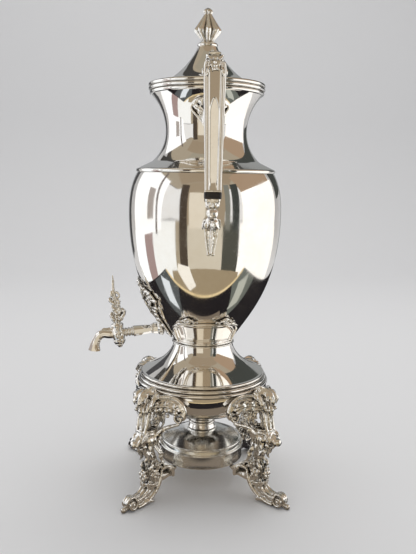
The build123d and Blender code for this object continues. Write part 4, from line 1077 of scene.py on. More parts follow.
def apron_edge(inset, steps=10):
    """The apron's outline as (across, height), from the foot's middle round both sides."""
    top = apron_foot + apron_height - inset
    foot_half, top_half = apron_half_foot - inset, apron_half_top - inset
    corner = apron_corner - inset / 2
    turn = np.linspace(0, pi / 2, steps)
    half = [(x, apron_foot + 0.2 + inset * 0.6) for x in np.linspace(0, foot_half, 16)]
    half += [(foot_half + (top_half - foot_half) * s,
              apron_foot + 0.2 + inset * 0.6 + (top - corner - apron_foot) * s)
             for s in np.linspace(0.08, 0.94, 12)]
    half += [(top_half - corner + corner * cos(t), top - corner + corner * sin(t)) for t in turn]
    half += [(x, top - 0.5 * sin(pi * x / (top_half - corner)))
             for x in np.linspace(top_half - corner, 0, 14)[1:]]
    half = np.array(half)
    return np.vstack([half, (half[::-1] * (-1, 1))[1:-1]])


def rolled(line, outline, out, half, around=10):
    """A round edge that runs once round an outline on a sheet."""
    path = on_sheet(line, outline[:, 0], outline[:, 1], out)
    stations = np.hstack([np.vstack([path, path[:2]]), np.full((len(path) + 2, 2), half)])
    return limb(stations, side=(1, 0, 0), count=len(stations) * 2, around=around)


edge = apron_edge(1.2)
middle_of_plate = np.array((0, apron_foot + apron_height * 0.45))
plate_rings = [on_sheet(belly_sheet, *(middle_of_plate + share * (edge - middle_of_plate)).T, 1.6)
               for share in np.linspace(0.04, 1, 14)]
plate_rings += [on_sheet(belly_sheet, *(middle_of_plate + share * (edge - middle_of_plate)).T, 0.1)
                for share in np.linspace(1, 0.04, 8)]
apron_solids = [skinned(plate_rings), rolled(belly_sheet, apron_edge(1.1), 1.6, 1.15),
                rolled(belly_sheet, apron_edge(4), 1.75, 0.55, 8)]
for height, half in ((apron_foot + 3.6, 0.6), (apron_foot + 5.4, 0.35)):
    row = on_sheet(belly_sheet, np.linspace(-25.4, 25.4, 30), height, 1.7)
    apron_solids.append(limb(np.hstack([row, np.full((30, 2), half)]), side=(1, 0, 0), count=60, around=8))


def apron_curls(side):
    """Two leaves that curl apart on the lip, with a berry between them, and a tip at the corner."""
    top = apron_foot + apron_height
    solids = []

    def at(across, up, out=1.6):
        return tuple(on_sheet(belly_sheet, side * across, top + up, out))

    for way in (-1, 1):
        solids.append(leaf(
            [at(scroll_place + way * 0.5, -0.8), at(scroll_place + way * 2.2, 2.2, 1.8),
             at(scroll_place + way * 4.2, 2.6, 2), at(scroll_place + way * 5.8, 0.4, 1.6)], 2.3, 1.1,
            side=(1, 0, 0.4), fold=0.25, count=24, around=16))
        solids.append(limb(
            [(*at(scroll_place + way * 0.6, 0), 0.9, 1), (*at(scroll_place + way * 2.4, 3), 1, 1.1),
             (*at(scroll_place + way * 0.4, 4.6), 0.9, 1),
             (*at(scroll_place - way * 1, 3.2), 0.7, 0.8)], side=(1, 0, 0), count=22))
        solids.append(leaf(
            [at(scroll_place + way * 5, -0.4), at(scroll_place + way * 7.4, 1.5),
             at(scroll_place + way * 9.6, 0.2)], 1.6, 0.9, side=(1, 0, 0.4), lobes=1, fold=0.2,
            count=18, around=12))
    solids.append(bead(at(scroll_place, 1.7, 2), 1.3))
    solids.append(leaf(
        [at(apron_half_top - 5.5, -2.6, 1.8), at(apron_half_top - 2, -4.2, 1.8),
         at(apron_half_top + 0.4, -6.8, 1.2)], 1.9, 0.9, side=(1, 0, 0.4), lobes=1, fold=0.2,
        count=18, around=12))
    return solids


def skinned_mesh(solids):
    """A mesh in metres of solids in millimetres, as they are."""
    mesh = joined(solids)
    mesh.transform(Matrix.Scale(mm, 4))
    return mesh


def on_both_hands(name, mesh, finish, stands_for, **more):
    """A piece on the right side of the urn, and the same turned half round for the left."""
    for hand, turn in (("right", 0), ("left", pi)):
        assembled(f"{name}_{hand}", turned_about(mesh, turn), finish, [f"{stands_for}_{hand}"], **more)


apron_mesh = skinned_mesh(apron_solids)
curls_mesh = melted(apron_curls(-1) + apron_curls(1), 0.32 * mm)
on_both_hands("apron_plate", apron_mesh, polished_silver, "apron")
on_both_hands("apron_curls", curls_mesh, cast_silver, "apron", crease=70)

# Shield behind the tap
# An openwork casting of scrolls and leaves that hugs the belly, with a scalloped boss for the tap. It is
# soldered on before the tap's nut is drawn up.
shield_foot = apron_foot + 1  # millimetres in this section
shield_height = 57
shield_half = 31
edge_leaf = 3.2                 # how far the leaves on its edge stand out
tap_flange = Vector((0, -44, 153))
tap_slope = radians(8)
tap_way = Vector((0, -cos(tap_slope), -sin(tap_slope)))
tap_up = Vector((0, -sin(tap_slope), cos(tap_slope)))
hub, outwards, upwards = np.array(tap_flange), np.array(tap_way), np.array(tap_up)
inwards = -outwards


def on_shield(across, up, out=1.6):
    """A point over the belly behind the tap, at shares of the shield's half width and height."""
    x, y, z = on_sheet(belly_sheet, across * shield_half, shield_foot + up * shield_height, out)
    return np.array((y, -x, z))


def shield_band(points, half):
    """A scroll that lies on the belly, through shares across and up, with its size at each."""
    stations = [(*on_shield(x, y), 1.3 * size, half * size) for x, y, size in points]
    return limb(stations, side=(0, 0, 1), count=len(points) * 8, around=12)


def spiral(across, up, reach, turns, start, side, half):
    """A scroll that winds in to a berry, on the belly."""
    points = []
    for share in np.linspace(0, 1, 16):
        angle = start + turns * 2 * pi * share
        radius = reach * (1 - 0.85 * share)
        points.append((side * (across + radius * cos(angle) / shield_half),
                       up + radius * sin(angle) / shield_height, 1 - 0.4 * share))
    return [shield_band(points, half), bead(on_shield(side * across, up, 2.2), half * 1.05)]


shield_solids = []
for side in (-1, 1):
    outer = [(0, 0.98), (0.22, 1), (0.42, 0.95), (0.56, 0.87), (0.76, 0.88), (0.95, 0.84), (1, 0.74),
             (0.84, 0.62), (0.62, 0.55), (0.5, 0.47), (0.4, 0.38), (0.34, 0.26), (0.22, 0.12), (0.08, 0.02)]
    shield_solids.append(shield_band([(side * x, y, 1) for x, y in outer], 1.1))
    for i in range(1, len(outer) - 1):
        (x, y), (x_before, y_before), (x_after, y_after) = outer[i], outer[i - 1], outer[i + 1]
        way = np.array(((y_before - y_after) * shield_height, (x_after - x_before) * shield_half))
        way *= 1 / np.linalg.norm(way)
        tip = (side * (x + way[0] * edge_leaf / shield_half), min(y + way[1] * edge_leaf / shield_height, 1))
        path = [(side * x * 0.9, y, 1.8), ((side * x + tip[0]) / 2, (y + tip[1]) / 2, 2.4), (*tip, 1.4)]
        shield_solids.append(leaf([on_shield(*point) for point in path], 2.6, 1.2, side=(0.3, 0.3, 0.4),
                                  fold=0.25, count=18, around=14))
        shield_solids.append(bead(on_shield(side * x * 0.93, y - 0.01, 2.6), 1.35))
    for across, up, reach, turns, start, half in (
            (0.72, 0.74, 6.2, 1.5, 0.4, 1.5), (0.3, 0.83, 5.4, 1.4, 2.4, 1.3),
            (0.34, 0.6, 5.6, 1.4, -1.2, 1.4), (0.2, 0.4, 4.2, 1.2, 0.8, 1.2),
            (0.17, 0.14, 2.8, 1.1, 2, 1)):
        shield_solids += spiral(across, up, reach, turns, start, side, half)
    for *path, width in (
            ((0.06, 0.45), (0.3, 0.52), (0.5, 0.66), 4.4), ((0.5, 0.6), (0.8, 0.68), (0.97, 0.82), 4.6),
            ((0.04, 0.7), (0.2, 0.74), (0.44, 0.92), 4.2), ((0.52, 0.82), (0.7, 0.86), (0.94, 0.87), 3),
            ((0.1, 0.3), (0.24, 0.36), (0.4, 0.46), 3.2), ((0.05, 0.16), (0.16, 0.2), (0.3, 0.28), 2.6)):
        spine = [on_shield(side * x, y, out) for (x, y), out in zip(path, (1.4, 2.6, 1.6))]
        shield_solids.append(leaf(spine, width, 1.3, side=(0, 0.3, 1), lobes=3, fold=0.2, around=18))
    for across, up, radius in ((0.5, 0.8, 1.5), (0.86, 0.78, 1.4), (0.16, 0.92, 1.4), (0.46, 0.7, 1.4),
                               (0.12, 0.52, 1.3)):
        shield_solids.append(bead(on_shield(side * across, up, 2.2), radius))
shield_solids.append(leaf(
    [on_shield(0, 0.3, 1.6), on_shield(0, 0.5, 3), on_shield(0, 0.78, 3), on_shield(0, 1, 1.6)], 6, 1.7,
    side=(1, 0, 0), lobes=5, fold=0.2, count=60, around=26))
shield_solids.append(leaf([on_shield(0, 0.12, 1.6), on_shield(0, 0.06, 2.4), on_shield(0, -0.005, 1.4)],
                          3, 1.2, side=(1, 0, 0), fold=0.2, count=24))
for i in range(10):
    turn = 2 * pi * i / 10
    way = np.array((cos(turn), sin(turn) * -sin(tap_slope), sin(turn) * cos(tap_slope)))
    shield_solids.append(limb(
        [(*(hub + way * 2.5), 1.6, 1.9), (*(hub + way * 4.9 + outwards * -1.2), 1.9, 2),
         (*(hub + way * 6.6 + outwards * -4.5), 1.5, 1.9)], side=np.cross(tap_way, way), count=12,
        around=12))
shield_solids.append(limb(
    [(*(hub + outwards * step), 5, 5) for step in (-9, -5, -2, -0.6)], side=(1, 0, 0), count=10, around=24))


def off_belly(mesh):
    """Keeps a casting on the outside of the belly's sheet."""
    points = corners_of(mesh)
    reach = np.hypot(points[:, 0], points[:, 1])
    least = np.interp(points[:, 2], body_line[:, 1], body_line[:, 0]) + 0.02 * mm
    least[points[:, 2] < waist] = 0
    points[:, :2] *= np.maximum(least / np.maximum(reach, 1e-6), 1)[:, None]
    points[:, 2] = np.maximum(points[:, 2], waist + 0.1 * mm)
    return placed(mesh, points)


assembled("shield_scrolls", off_belly(melted(shield_solids, 0.42 * mm)), cast_silver, ["tap_shield"],
          crease=70)

# Handle straps
# Each grip is one casting: an arm from the upper insulator, a corner with a flower and curls, and a flat
# strap with beaded edges and a sunk panel, which tapers down to the lower insulator.
strap_reach = 88              # millimetres in this section and the next four
strap_foot = 287
strap_top = 390
strap_half_depth = 3.2
strap_half_foot = 6.8
strap_half_top = 9.2
panel_top = 362
panel_lean = 0.085               # the sunk panel isn't quite square to the strap
arm_start = np.array((50, 0, 352))
arm_end = np.array((88, 0, 384))
arm_way = (arm_end - arm_start) / np.linalg.norm(arm_end - arm_start)
arm_length = float(np.linalg.norm(arm_end - arm_start))
arm_half_depth = 3.8
arm_half_width = 7
insulator_height = 5.4
bracket_length = 9


def strap_ring(height):
    """The strap's section at a height: beaded edges and a sunk panel outside, a slightly round back."""
    share = (height - strap_foot) / (strap_top - strap_foot)
    rounding = max((height - strap_top + 6) / 6, 0) ** 2
    half = strap_half_foot + (strap_half_top - strap_half_foot) * share - rounding
    front = np.linspace(-1, 1, 61)
    reach = np.abs(front)
    groove = 0.95 * np.exp(-((reach - 0.71) / 0.07) ** 2)
    inner = 0.5 * (1 / (1 + np.exp((reach - 0.5) / 0.015)))
    arch = 0.45 * np.sqrt(np.clip((panel_top - height) / 10, 0,
                                  1)) * min(max((height - strap_foot - 4) / 3, 0), 1)
    lean = panel_lean * front * half
    sunk = (0.65 - lean) / (1 + np.exp((reach - arch) / 0.015)) if arch > 0.02 else 0
    rounded = 0.9 * np.clip((reach - 0.88) / 0.12, 0, 1) ** 2
    face = strap_half_depth - groove - inner - sunk - rounded
    back = np.linspace(1, -1, 21)
    behind = -strap_half_depth + 1.3 * np.abs(back) ** 6
    out, across = np.concatenate([face, behind]), np.concatenate([front, back]) * half
    return np.stack([strap_reach + out, across, height + 0 * out], axis=1)


def corner_box(stations, count=24, around=48, square=0.45):
    """A bar with rounded corners in the plane of X and Z, through stations as limb has them."""
    line = smooth_line(stations, count)
    across, above = framed(line[:, :3], (0, 1, 0))
    angle = np.linspace(0, 2 * pi, around, endpoint=False)[None, :]
    wide = line[:, 4:5] * np.sign(np.cos(angle)) * np.abs(np.cos(angle)) ** square
    deep = line[:, 3:4] * np.sign(np.sin(angle)) * np.abs(np.sin(angle)) ** square
    return skinned(line[:, None, :3] + across[:, None] * wide[:, :, None] + above[:, None] * deep[:, :, None])


def moved(origin, points):
    """Points whose places are given from an origin."""
    return [(x + origin[0], y + origin[1], z + origin[2], *rest) for x, y, z, *rest in points]


def along_arm(distance, lift=0):
    """A point on the middle line of the arm, or lifted off it."""
    return arm_start + arm_way * distance + np.array((-arm_way[2], 0, arm_way[0])) * lift


arm_root = bracket_length + insulator_height
strap_heights = np.concatenate(
    [np.linspace(*stops) for stops in ((strap_foot, strap_foot + 3, 5),
                                       (strap_foot + 4, panel_top - 14, 24),
                                       (panel_top - 12, panel_top + 1, 27),
                                       (panel_top + 4, strap_top - 0.5, 10))])
arm_steps = np.linspace(arm_root, arm_length - 1.5, 6)
bead_steps = np.linspace(arm_root + 0.2, arm_length - 3, 6)
strap_solids = [skinned([strap_ring(height) for height in strap_heights]),
                corner_box([(*along_arm(step), arm_half_depth, arm_half_width + 0.012 * step)
                            for step in arm_steps])]
for side in (-1, 1):
    strap_solids.append(limb(
        [(*(along_arm(step, 3.4) + (0, side * 6, 0)), 0.9, 0.9) for step in bead_steps], count=20, around=8))
    strap_solids.append(limb([(strap_reach + 2.6, side * 6.4, strap_foot + 0.9, 1, 1),
                              (strap_reach + 3.2, 0, strap_foot + 0.9, 1, 1)], side=(0, 0, 1), count=10))
corner = (strap_reach, 0, strap_top)
corner_solids = [corner_box(moved(corner, [(-3.5, 0, -8, 3.4, 8.2), (-0.4, 0, -2.6, 3.4, 7.6),
                                           (-1.6, 0, 0.6, 2, 5.2)]), count=16)]
corner_solids += flower((strap_reach + 3, 0, strap_top - 4), (1, 0, 0.1), 5, 5)
corner_solids += volute((strap_reach - 1.6, 0, strap_top + 3.2), 4.4, 1.3, 5.2, 1.35, 0.7)
for side in (-1, 1):
    corner_solids += volute((strap_reach - 0.2, side * 9, strap_top - 7.6), 3.4, 1, 1.4, 1.3, 2.2)
    spine = moved(corner, [(1.5, 2.5, 1), (-1, 4.6, 4.4), (-5, 5.8, 3.2), (-9, 6.4, -1.6)])
    corner_solids.append(leaf(flanked(side, spine), 2.9, 1.2, lobes=3, around=18))
    spine = moved(corner, [(2.8, 4.5, -4), (3.4, 6.4, -8.5), (3, 7.6, -13)])
    corner_solids.append(leaf(flanked(side, spine), 1.9, 0.9, fold=0.2, count=20, around=14))
spine = moved(corner, [(-3, 0, 8.4), (-7, 0, 7.4), (-10, 0, 3.4), (-13, 0, -2)])
corner_solids.append(leaf(spine, 3.8, 1.3, lobes=3, fold=0.25, count=34, around=20))
strap_mesh = skinned_mesh(strap_solids)
corner_mesh = melted(corner_solids, 0.4 * mm)
on_both_hands("strap", strap_mesh, polished_silver, "handle_strap")
on_both_hands("strap_corner", corner_mesh, cast_silver, "handle_strap", crease=70)

# Handle insulators and their pins
# Slices of black ebony keep the vase's heat from the hand. Each stands between two silver faces on a
# pair of pins that go into the silver on both sides.


def oiled_ebony():
    """Near-black wood with fine brown streaks along the grain, open pores, and a worn wax polish."""
    finish, tree, surface = new_finish("oiled ebony")
    place = node(tree, "ShaderNodeTexCoord").outputs["Object"]
    laid = node(tree, "ShaderNodeMapping",
                {"Vector": place, "Rotation": (0.1, 0.2, 0.4), "Scale": (900, 130, 900)}).outputs[0]
    grain = noise(tree, laid, 1, 4, Roughness=0.6)
    streak = ranged(tree, grain, 0.45, 0.8)
    colour = blend(tree, streak, (0.010, 0.009, 0.009, 1), (0.050, 0.030, 0.018, 1))
    rough = ranged(tree, grain, 0, 1, 0.22, 0.42)
    wired(tree, surface, Base_Color=colour, Roughness=rough,
          Normal=bump(tree, grain, 0.08 * mm, Strength=0.6))
    return finish


ebony = oiled_ebony()
slice_steps = ((0, 0.1), (0.08, 0.45), (0.5, 0.5), (0.92, 0.45), (1, 0.1))  # share of its height, overhang
slices = {"upper": [(*along_arm(bracket_length + step * insulator_height),
                     arm_half_depth + over, arm_half_width + over) for step, over in slice_steps],
          "lower": [(strap_reach, 0, strap_foot - step * insulator_height,
                     strap_half_depth + over, strap_half_foot + over) for step, over in slice_steps],}
for place, stations in slices.items():
    slice_mesh = skinned_mesh([corner_box(stations, count=17, around=64, square=0.5)])
    on_both_hands("ebony_" + place, slice_mesh, ebony, "insulator_" + place, slot="insulator", crease=50)

# Handle brackets
# A cast openwork leaf lies on the neck under each handle, with a stem that meets the upper insulator.
neck_sheet = np.vstack([ledge_line, neck_line[1:], flare_line[1:]]) / mm
bracket_top = 367
bracket_foot = 341
bracket_half = 16.5


def on_neck(across, up, out):
    """A point over the neck, at shares of the bracket's half width and height."""
    return on_sheet(neck_sheet, across * bracket_half, bracket_foot + up * (bracket_top - bracket_foot), out)


bracket_solids = [corner_box([(*along_arm(step), 3.75, 6.9) for step in (3.4, 6, 9)], count=10),
                  limb([(41.5, 0, 345.4, 6, 7.4), (46.5, 0, 348.6, 5.2, 7.6), (50.6, 0, 352.4, 4.4, 7.2),
                        (*along_arm(5.5), 3.8, 6.9)], count=24, around=24, flutes=9, depth=0.1)]
for side in (-1, 1):
    rim_line = [(0.05, 1), (0.4, 0.98), (0.78, 0.9), (1, 0.72), (0.8, 0.52), (0.5, 0.32), (0.22, 0.12),
                (0.02, 0.01)]
    bracket_solids.append(limb(
        [(*on_neck(side * x, y, 1.2), 1.1, 1.25) for x, y in rim_line], side=(0, 0, 1), count=60, around=12))
    for middle, reach, start in (((0.66, 0.74), 3.6, 0.3), ((0.4, 0.5), 3.2, 2.6)):
        points = []
        for share in np.linspace(0, 1, 14):
            radius = reach * (1 - 0.8 * share)
            angle = start + 2.4 * pi * share
            across = side * (middle[0] + radius * cos(angle) / bracket_half)
            up = middle[1] + radius * sin(angle) / (bracket_top - bracket_foot)
            points.append((*on_neck(across, up, 1.6), 0.95, 1))
        bracket_solids.append(limb(points, side=(0, 0, 1), count=50))
        bracket_solids.append(bead(on_neck(side * middle[0], middle[1], 1.8), 1.1))
    for *path, width in (((0.1, 0.35), (0.5, 0.6), (0.96, 0.76), 3.6),
                         ((0.1, 0.7), (0.4, 0.84), (0.72, 0.94), 3.2),
                         ((0.05, 0.1), (0.25, 0.26), (0.5, 0.36), 2.4)):
        spine = [on_neck(side * x, y, out) for (x, y), out in zip(path, (1.4, 2.4, 1.4))]
        bracket_solids.append(leaf(spine, width, 1.1, side=(0.3, 0, 1), lobes=3, fold=0.2, around=16))
bracket_solids.append(leaf(
    [on_neck(0, 0.5, 2), on_neck(0, 0.75, 2.8), on_neck(0, 1, 1.6)], 5, 1.4, lobes=4, fold=0.2, count=34))
bracket_mesh = melted(bracket_solids, 0.42 * mm)
points = corners_of(bracket_mesh)
least = np.interp(points[:, 2] / mm, neck_sheet[:, 1], neck_sheet[:, 0]) * mm + 0.02 * mm
near = (points[:, 0] > 0) & (points[:, 2] / mm < bracket_top + 1.5)
out = np.where(near, np.maximum(least / np.maximum(np.hypot(points[:, 0], points[:, 1]), 1e-6), 1), 1)
points[:, :2] *= out[:, None]
placed(bracket_mesh, points)
on_both_hands("bracket_leaf", bracket_mesh, cast_silver, "handle_bracket", crease=70)

# Handle tails
# Under the lower insulator each handle ends in a petalled socket, a ball, a leaf collar and a smooth tail
# with a ridge, whose curled tip is soldered to the belly.
socket_top = strap_foot - insulator_height
socket = (strap_reach, 0, socket_top)
tail_solids = [corner_box(moved(socket, [(0, 0, 0, 3.6, 6.3), (0, 0, -1, 3.6, 6.3),
                                         (-0.2, 0, -1.6, 3.3, 5.8)]), count=8, around=64)]
tail_solids.append(limb(moved(socket, [(-0.2, 0, -1, 3.4, 6), (-0.8, 0, -4, 4.3, 6.2),
                                       (-2, 0, -7.8, 3.2, 4.2)]), count=22, around=48, flutes=10, depth=0.2))
tail_solids += [bead((strap_reach - 3.2, 0, socket_top - 12.3), 5.2)]
for i in range(10):
    turn = 2 * pi * i / 10
    way = np.array((cos(turn), sin(turn), 0))
    heart = np.array((strap_reach - 2.6, 0, socket_top))
    tail_solids.append(leaf(
        [heart + way * 2.6 + (0, 0, -2), heart + way * 5 + (0, 0, -4.6),
         heart + way * 4.4 + (0, 0, -8.4)], 1.9, 0.9, side=np.cross(way, (0, 0, 1)), lobes=1, fold=0.2,
        count=18, around=12))
tail_solids.append(limb(
    [(83.9, 0, 265.5, 3, 4), (79.9, 0, 260.4, 4.4, 6.4), (77.2, 0, 255.8, 3.6, 5.4),
     (74.9, 0, 247.4, 3, 4.2), (73.6, 0, 239.2, 2.3, 3.2), (73.4, 0, 233.6, 1.8, 2.4)], count=50, around=24))
tail_solids.append(limb([(80.9, 0, 256, 1.2, 1), (78.3, 0, 247.8, 1.2, 1), (76.2, 0, 239.6, 1, 0.9),
                         (75.4, 0, 234.4, 0.8, 0.8)], count=24))
for side in (-1, 1):
    tail_solids.append(limb(flanked(side, [(80, 5, 257.5, 1.1, 1.1), (76.6, 4.2, 248.5, 1.2, 1.2),
                                           (74.8, 3, 239.5, 1.1, 1), (74.2, 1.9, 233.8, 0.9, 0.9)]),
                            count=30))
    tail_solids.append(bead((74.6, side * 1.8, 234.2), 1.7))
    tail_solids.append(leaf(flanked(side, [(84.6, 1.5, 264.5), (86, 3.2, 260.4), (84, 5.2, 257.2),
                                           (80.4, 6.6, 256.4)]), 3, 1.2, side=(0, 1, 0.5), lobes=3,
                            fold=0.35, count=28))
    tail_solids.append(leaf(flanked(side, [(82.4, 2.5, 265), (80, 6.2, 262.6), (77.4, 7.2, 258.4),
                                           (75.6, 7, 254.6)]), 2.4, 1, side=(1, 0, 0.4), count=24))
tail_solids.append(leaf([(86, 0, 263.5), (86.6, 0, 259), (84, 0, 254.2)], 3.2, 1.2, count=24))
tail_mesh = off_belly(melted(tail_solids, 0.4 * mm))
on_both_hands("handle_tail_casting", tail_mesh, cast_silver, "handle_tail", crease=70)

# Tap
# A tube goes through the belly. It carries a nut, an eight-sided barrel and three turned rings, and is
# brazed to the cock. A taper plug turns in the cock, and the spout bends down from it.
nut_radius = 5.6                # millimetres in this section and the next
nut_length = 5
shank_radius = 3.4
shank_length = 13
cock_distance = 39
cock_half = 9.5
plug_centre = tap_flange + tap_way * cock_distance


def tap_frame(origin, way, up):
    """Turns a piece made about Z so that it stands at an origin and points along a way."""
    side = way.cross(up)
    if side.cross(up).dot(way) < 0:
        side = -side
    return Matrix.Translation(origin * mm) @ Matrix((side, up, way)).transposed().to_4x4()


on_tap = tap_frame(tap_flange, tap_way, tap_up)
on_plug = tap_frame(plug_centre, tap_up, -tap_way)


def stood(mesh, stand):
    """A mesh stood in its place."""
    mesh.transform(stand)
    return mesh


def turned_on(stand, outline, facets=64):
    """A silver mesh turned in millimetres about Z, and stood in its place on the tap."""
    return stood(turned_mesh(np.array(outline) * mm, polished_silver, facets), stand)


def merged(*meshes):
    """One mesh of several."""
    work = bmesh.new()
    for mesh in meshes:
        work.from_mesh(mesh)
    whole = bpy.data.meshes.new("merged")
    work.to_mesh(whole)
    work.free()
    return whole


corners, faces = nut_skin(nut_radius, nut_length, shank_radius + 0.1, sides=8)
corners[:, 2] = np.minimum(corners[:, 2], nut_length)
nut_mesh = stood(skinned_mesh([(corners, faces)]), on_tap)
assembled("tap_nut_octagon", nut_mesh, polished_silver, ["tap_nut"], crease=25)


def flat_sides(angle, sides):
    """How far out flat sides stand at each angle, next to their corners."""
    return cos(pi / sides) / np.cos((angle + pi / sides) % (2 * pi / sides) - pi / sides)


barrel_line = [(nut_length - 0.2, 3.9), (6.6, 4.1), (8, 4.25), (16, 4.9), (22.2, 5.3), (23.4, 5.2), (24, 4.6)]
angle = np.linspace(0, 2 * pi, 64, endpoint=False)
shape = 0.15 + 0.85 * flat_sides(angle, 8)
barrel_body = skinned_mesh([skinned([
    np.stack([radius * shape * np.cos(angle), radius * shape * np.sin(angle), distance + 0 * angle], axis=1)
    for distance, radius in barrel_line])])
barrel_turned = turned_on(on_tap, np.vstack([
    [(2.2, -shank_length), (shank_radius, -shank_length), (shank_radius, 5.2)], reed(3.9, 6, 0.9, -80, 80, 9),
    [(3.4, 6.9), (3.4, 23.4)], reed(4.4, 23.7, 0.9, -80, 80, 9), [(3.1, 24.4)],
    *[reed(3.2, 24 + 2.9 * (i + 0.5), 1.2, -80, 80, 9) for i in range(3)],
    [(3.1, 33.2), (2.2, 33.2), (2.2, -shank_length)]
]))
barrel_mesh = merged(stood(barrel_body, on_tap), barrel_turned)
assembled("tap_barrel_tube", barrel_mesh, polished_silver, ["tap_barrel"], crease=28)

cock_line = [(4.3, -1), (5, -1), (5.5, -0.93), (5.9, -0.82), (5.5, -0.72), (5.3, -0.62), (5.6, -0.5),
             (6.1, -0.34), (6.4, -0.1), (6.4, 0.2), (6.1, 0.42), (5.5, 0.6), (5.5, 0.68), (6.1, 0.76),
             (6.2, 0.84), (5.9, 0.92), (5.3, 1), (4.4, 1), (4.4, -1)]
cock_mesh = turned_on(on_plug, [(radius, share * cock_half) for radius, share in cock_line], 72)
assembled("tap_cock_body", cock_mesh, polished_silver, ["tap_cock"])


def by_plug(inward, up, across=0):
    """A point by the plug: towards the vase, up the plug and across, from its centre."""
    return np.array(plug_centre - tap_way * inward + tap_up * up + Vector((across, 0, 0)))


cock_solids = []
for side in (-1, 1):
    cock_solids += volute(by_plug(0.4, -1.4, side * 5.9), 3.9, 1, 1.5, 1.3, 0.5, out=inwards, up=upwards)
    cock_solids.append(leaf(
        [by_plug(2.2, -4, side * 5.2), by_plug(-1, -6, side * 5.2), by_plug(-2.6, -8.6, side * 4.2)], 2.1,
        1, side=inwards, fold=0.25, count=22, around=14))
    cock_solids.append(leaf(
        [by_plug(1, 2.4, side * 6), by_plug(-0.6, 5, side * 6), by_plug(0.6, 7.8, side * 5.2)], 2, 1,
        side=inwards, fold=0.25, count=22, around=14))
assembled("tap_cock_scrolls", melted(cock_solids, 0.32 * mm), cast_silver, ["tap_cock"], crease=70)

washer_foot, screw_knob_foot = -11, -14.2
washer_outline = [(0, 0), (4.1, 0), (4.5, 0.3), (4.5, 0.9), (4.1, 1.2), (0, 1.2)]
knob_outline = [(0, 0), (1, 0.05), (1.75, 0.3), (2.1, 0.9), (2.3, 1.6), (3.1, 2.2), (3.5, 2.7), (3.4, 3.2),
                (0, 3.2)]
for name, stands_for, foot, outline in (("tap_washer_disc", "tap_washer", washer_foot, washer_outline),
                                        ("tap_screw_knob", "tap_screw", screw_knob_foot, knob_outline)):
    small_mesh = turned_on(on_plug, [(radius, foot + up) for radius, up in outline])
    assembled(name, small_mesh, polished_silver, [stands_for], "key")

spout_path = [(-87.3, 146.9), (-88.9, 146.7), (-92, 146.7), (-97.1, 147), (-101.3, 144.6), (-104.1, 139.6),
              (-105.5, 135), (-106, 130.7)]
spout_sizes = [4.3, 4.35, 4.45, 4.3, 4.15, 4.3, 4.9, 6.1]
spout_bores = [2.5, 2.5, 2.5, 2.5, 2.6, 3, 3.9, 5.2]


def spout_rings(sizes, sides, count=40):
    """Rings along the spout, round at its root and with flat sides towards its lip."""
    line = smooth_line([(0, y, z, size) for (y, z), size in zip(spout_path, sizes)], count)
    across, above = framed(line[:, :3], (1, 0, 0))
    angle = np.linspace(0, 2 * pi, 64, endpoint=False)[None, :]
    flat = flat_sides(angle, sides)
    shaped = 1 + (flat - 1) * np.linspace(0.2, 0.95, count)[:, None]
    radius = line[:, 3:4] * shaped
    wide = across[:, None] * (radius * np.cos(angle))[:, :, None]
    deep = above[:, None] * (radius * np.sin(angle))[:, :, None]
    return line[:, None, :3] + wide + deep


spout_outside, spout_inside = spout_rings(spout_sizes, 8), spout_rings(spout_bores, 8)
spout_skin = skinned(np.vstack([spout_outside, spout_inside[::-1][:30]]))
spout_trim = [leaf([(0, -88.5, 151.4), (0, -94, 152), (0, -99.5, 150.4), (0, -103.5, 146.4)], 3, 1,
                   side=(1, 0, 0), lobes=3, fold=0.5, count=34, around=18)]
spout_mesh = merged(skinned_mesh([spout_skin]), melted(spout_trim, 0.32 * mm))
assembled("tap_spout_bend", spout_mesh, polished_silver, ["tap_spout"], crease=28)

# Tap key
# The plug is turned by a tall cast key of scrolls and leaves, with a ring near its top and a thin pointed
# blade. It is riveted on the plug's square.
key_stem = [(0, 10.9, 4.6, 4.2), (0.3, 12.6, 3.6, 3.2), (1.2, 16, 4.6, 2.8), (2, 21, 5, 2.8),
            (1.8, 26, 3.4, 2.6), (1.6, 31, 3.4, 2.6), (1, 36, 2.6, 2.2), (1.1, 41, 2.2, 1.9),
            (1.3, 45, 1.7, 1.4), (1.9, 50, 1.7, 1.1), (2.3, 54.5, 1.1, 0.8), (2.6, 57.3, 0.5, 0.4)]
key_solids = [limb([(*by_plug(inward, up), deep, half) for inward, up, deep, half in key_stem],
                   side=(1, 0, 0), count=90, around=30, flutes=7, depth=0.3, twist=2)]
key_leaves = [((1, 12.5), (5.2, 15), (8.7, 19.6), (7, 24.2), 3.4),
              ((-0.6, 13), (-2.8, 15.2), (-4.2, 18.6), (-3.2, 21.6), 2.4),
              ((0.8, 23), (-0.8, 25), (-1.8, 27.4), (-1.4, 29.4), 2),
              ((0.6, 29.4), (-1.4, 31), (-3.4, 33.4), (-3.2, 35.6), 2.2),
              ((1.2, 25.5), (3.4, 27.2), (5, 30.4), (4.4, 33), 2.2),
              ((1.6, 17), (4.6, 20.4), (4.6, 24.6), (2.2, 27.2), 2.2),
              ((0.8, 37.6), (-0.6, 39), (-0.4, 40.8), (0.4, 42), 1.2)]
for *spine, width in key_leaves:
    for side in (-1, 1):
        key_solids.append(leaf([by_plug(*point, side) for point in spine], width * 1.15, 2.3,
                               side=(1, 0.3 * side, 0), fold=0.25, around=14))
ring_centre = by_plug(3, 37.2)
key_solids.append(limb([(*(ring_centre + 2.9 * cos(a) * inwards + 2.9 * sin(a) * upwards), 1.2, 1.35)
                        for a in np.linspace(0, 2 * pi, 15)], side=(1, 0, 0)))
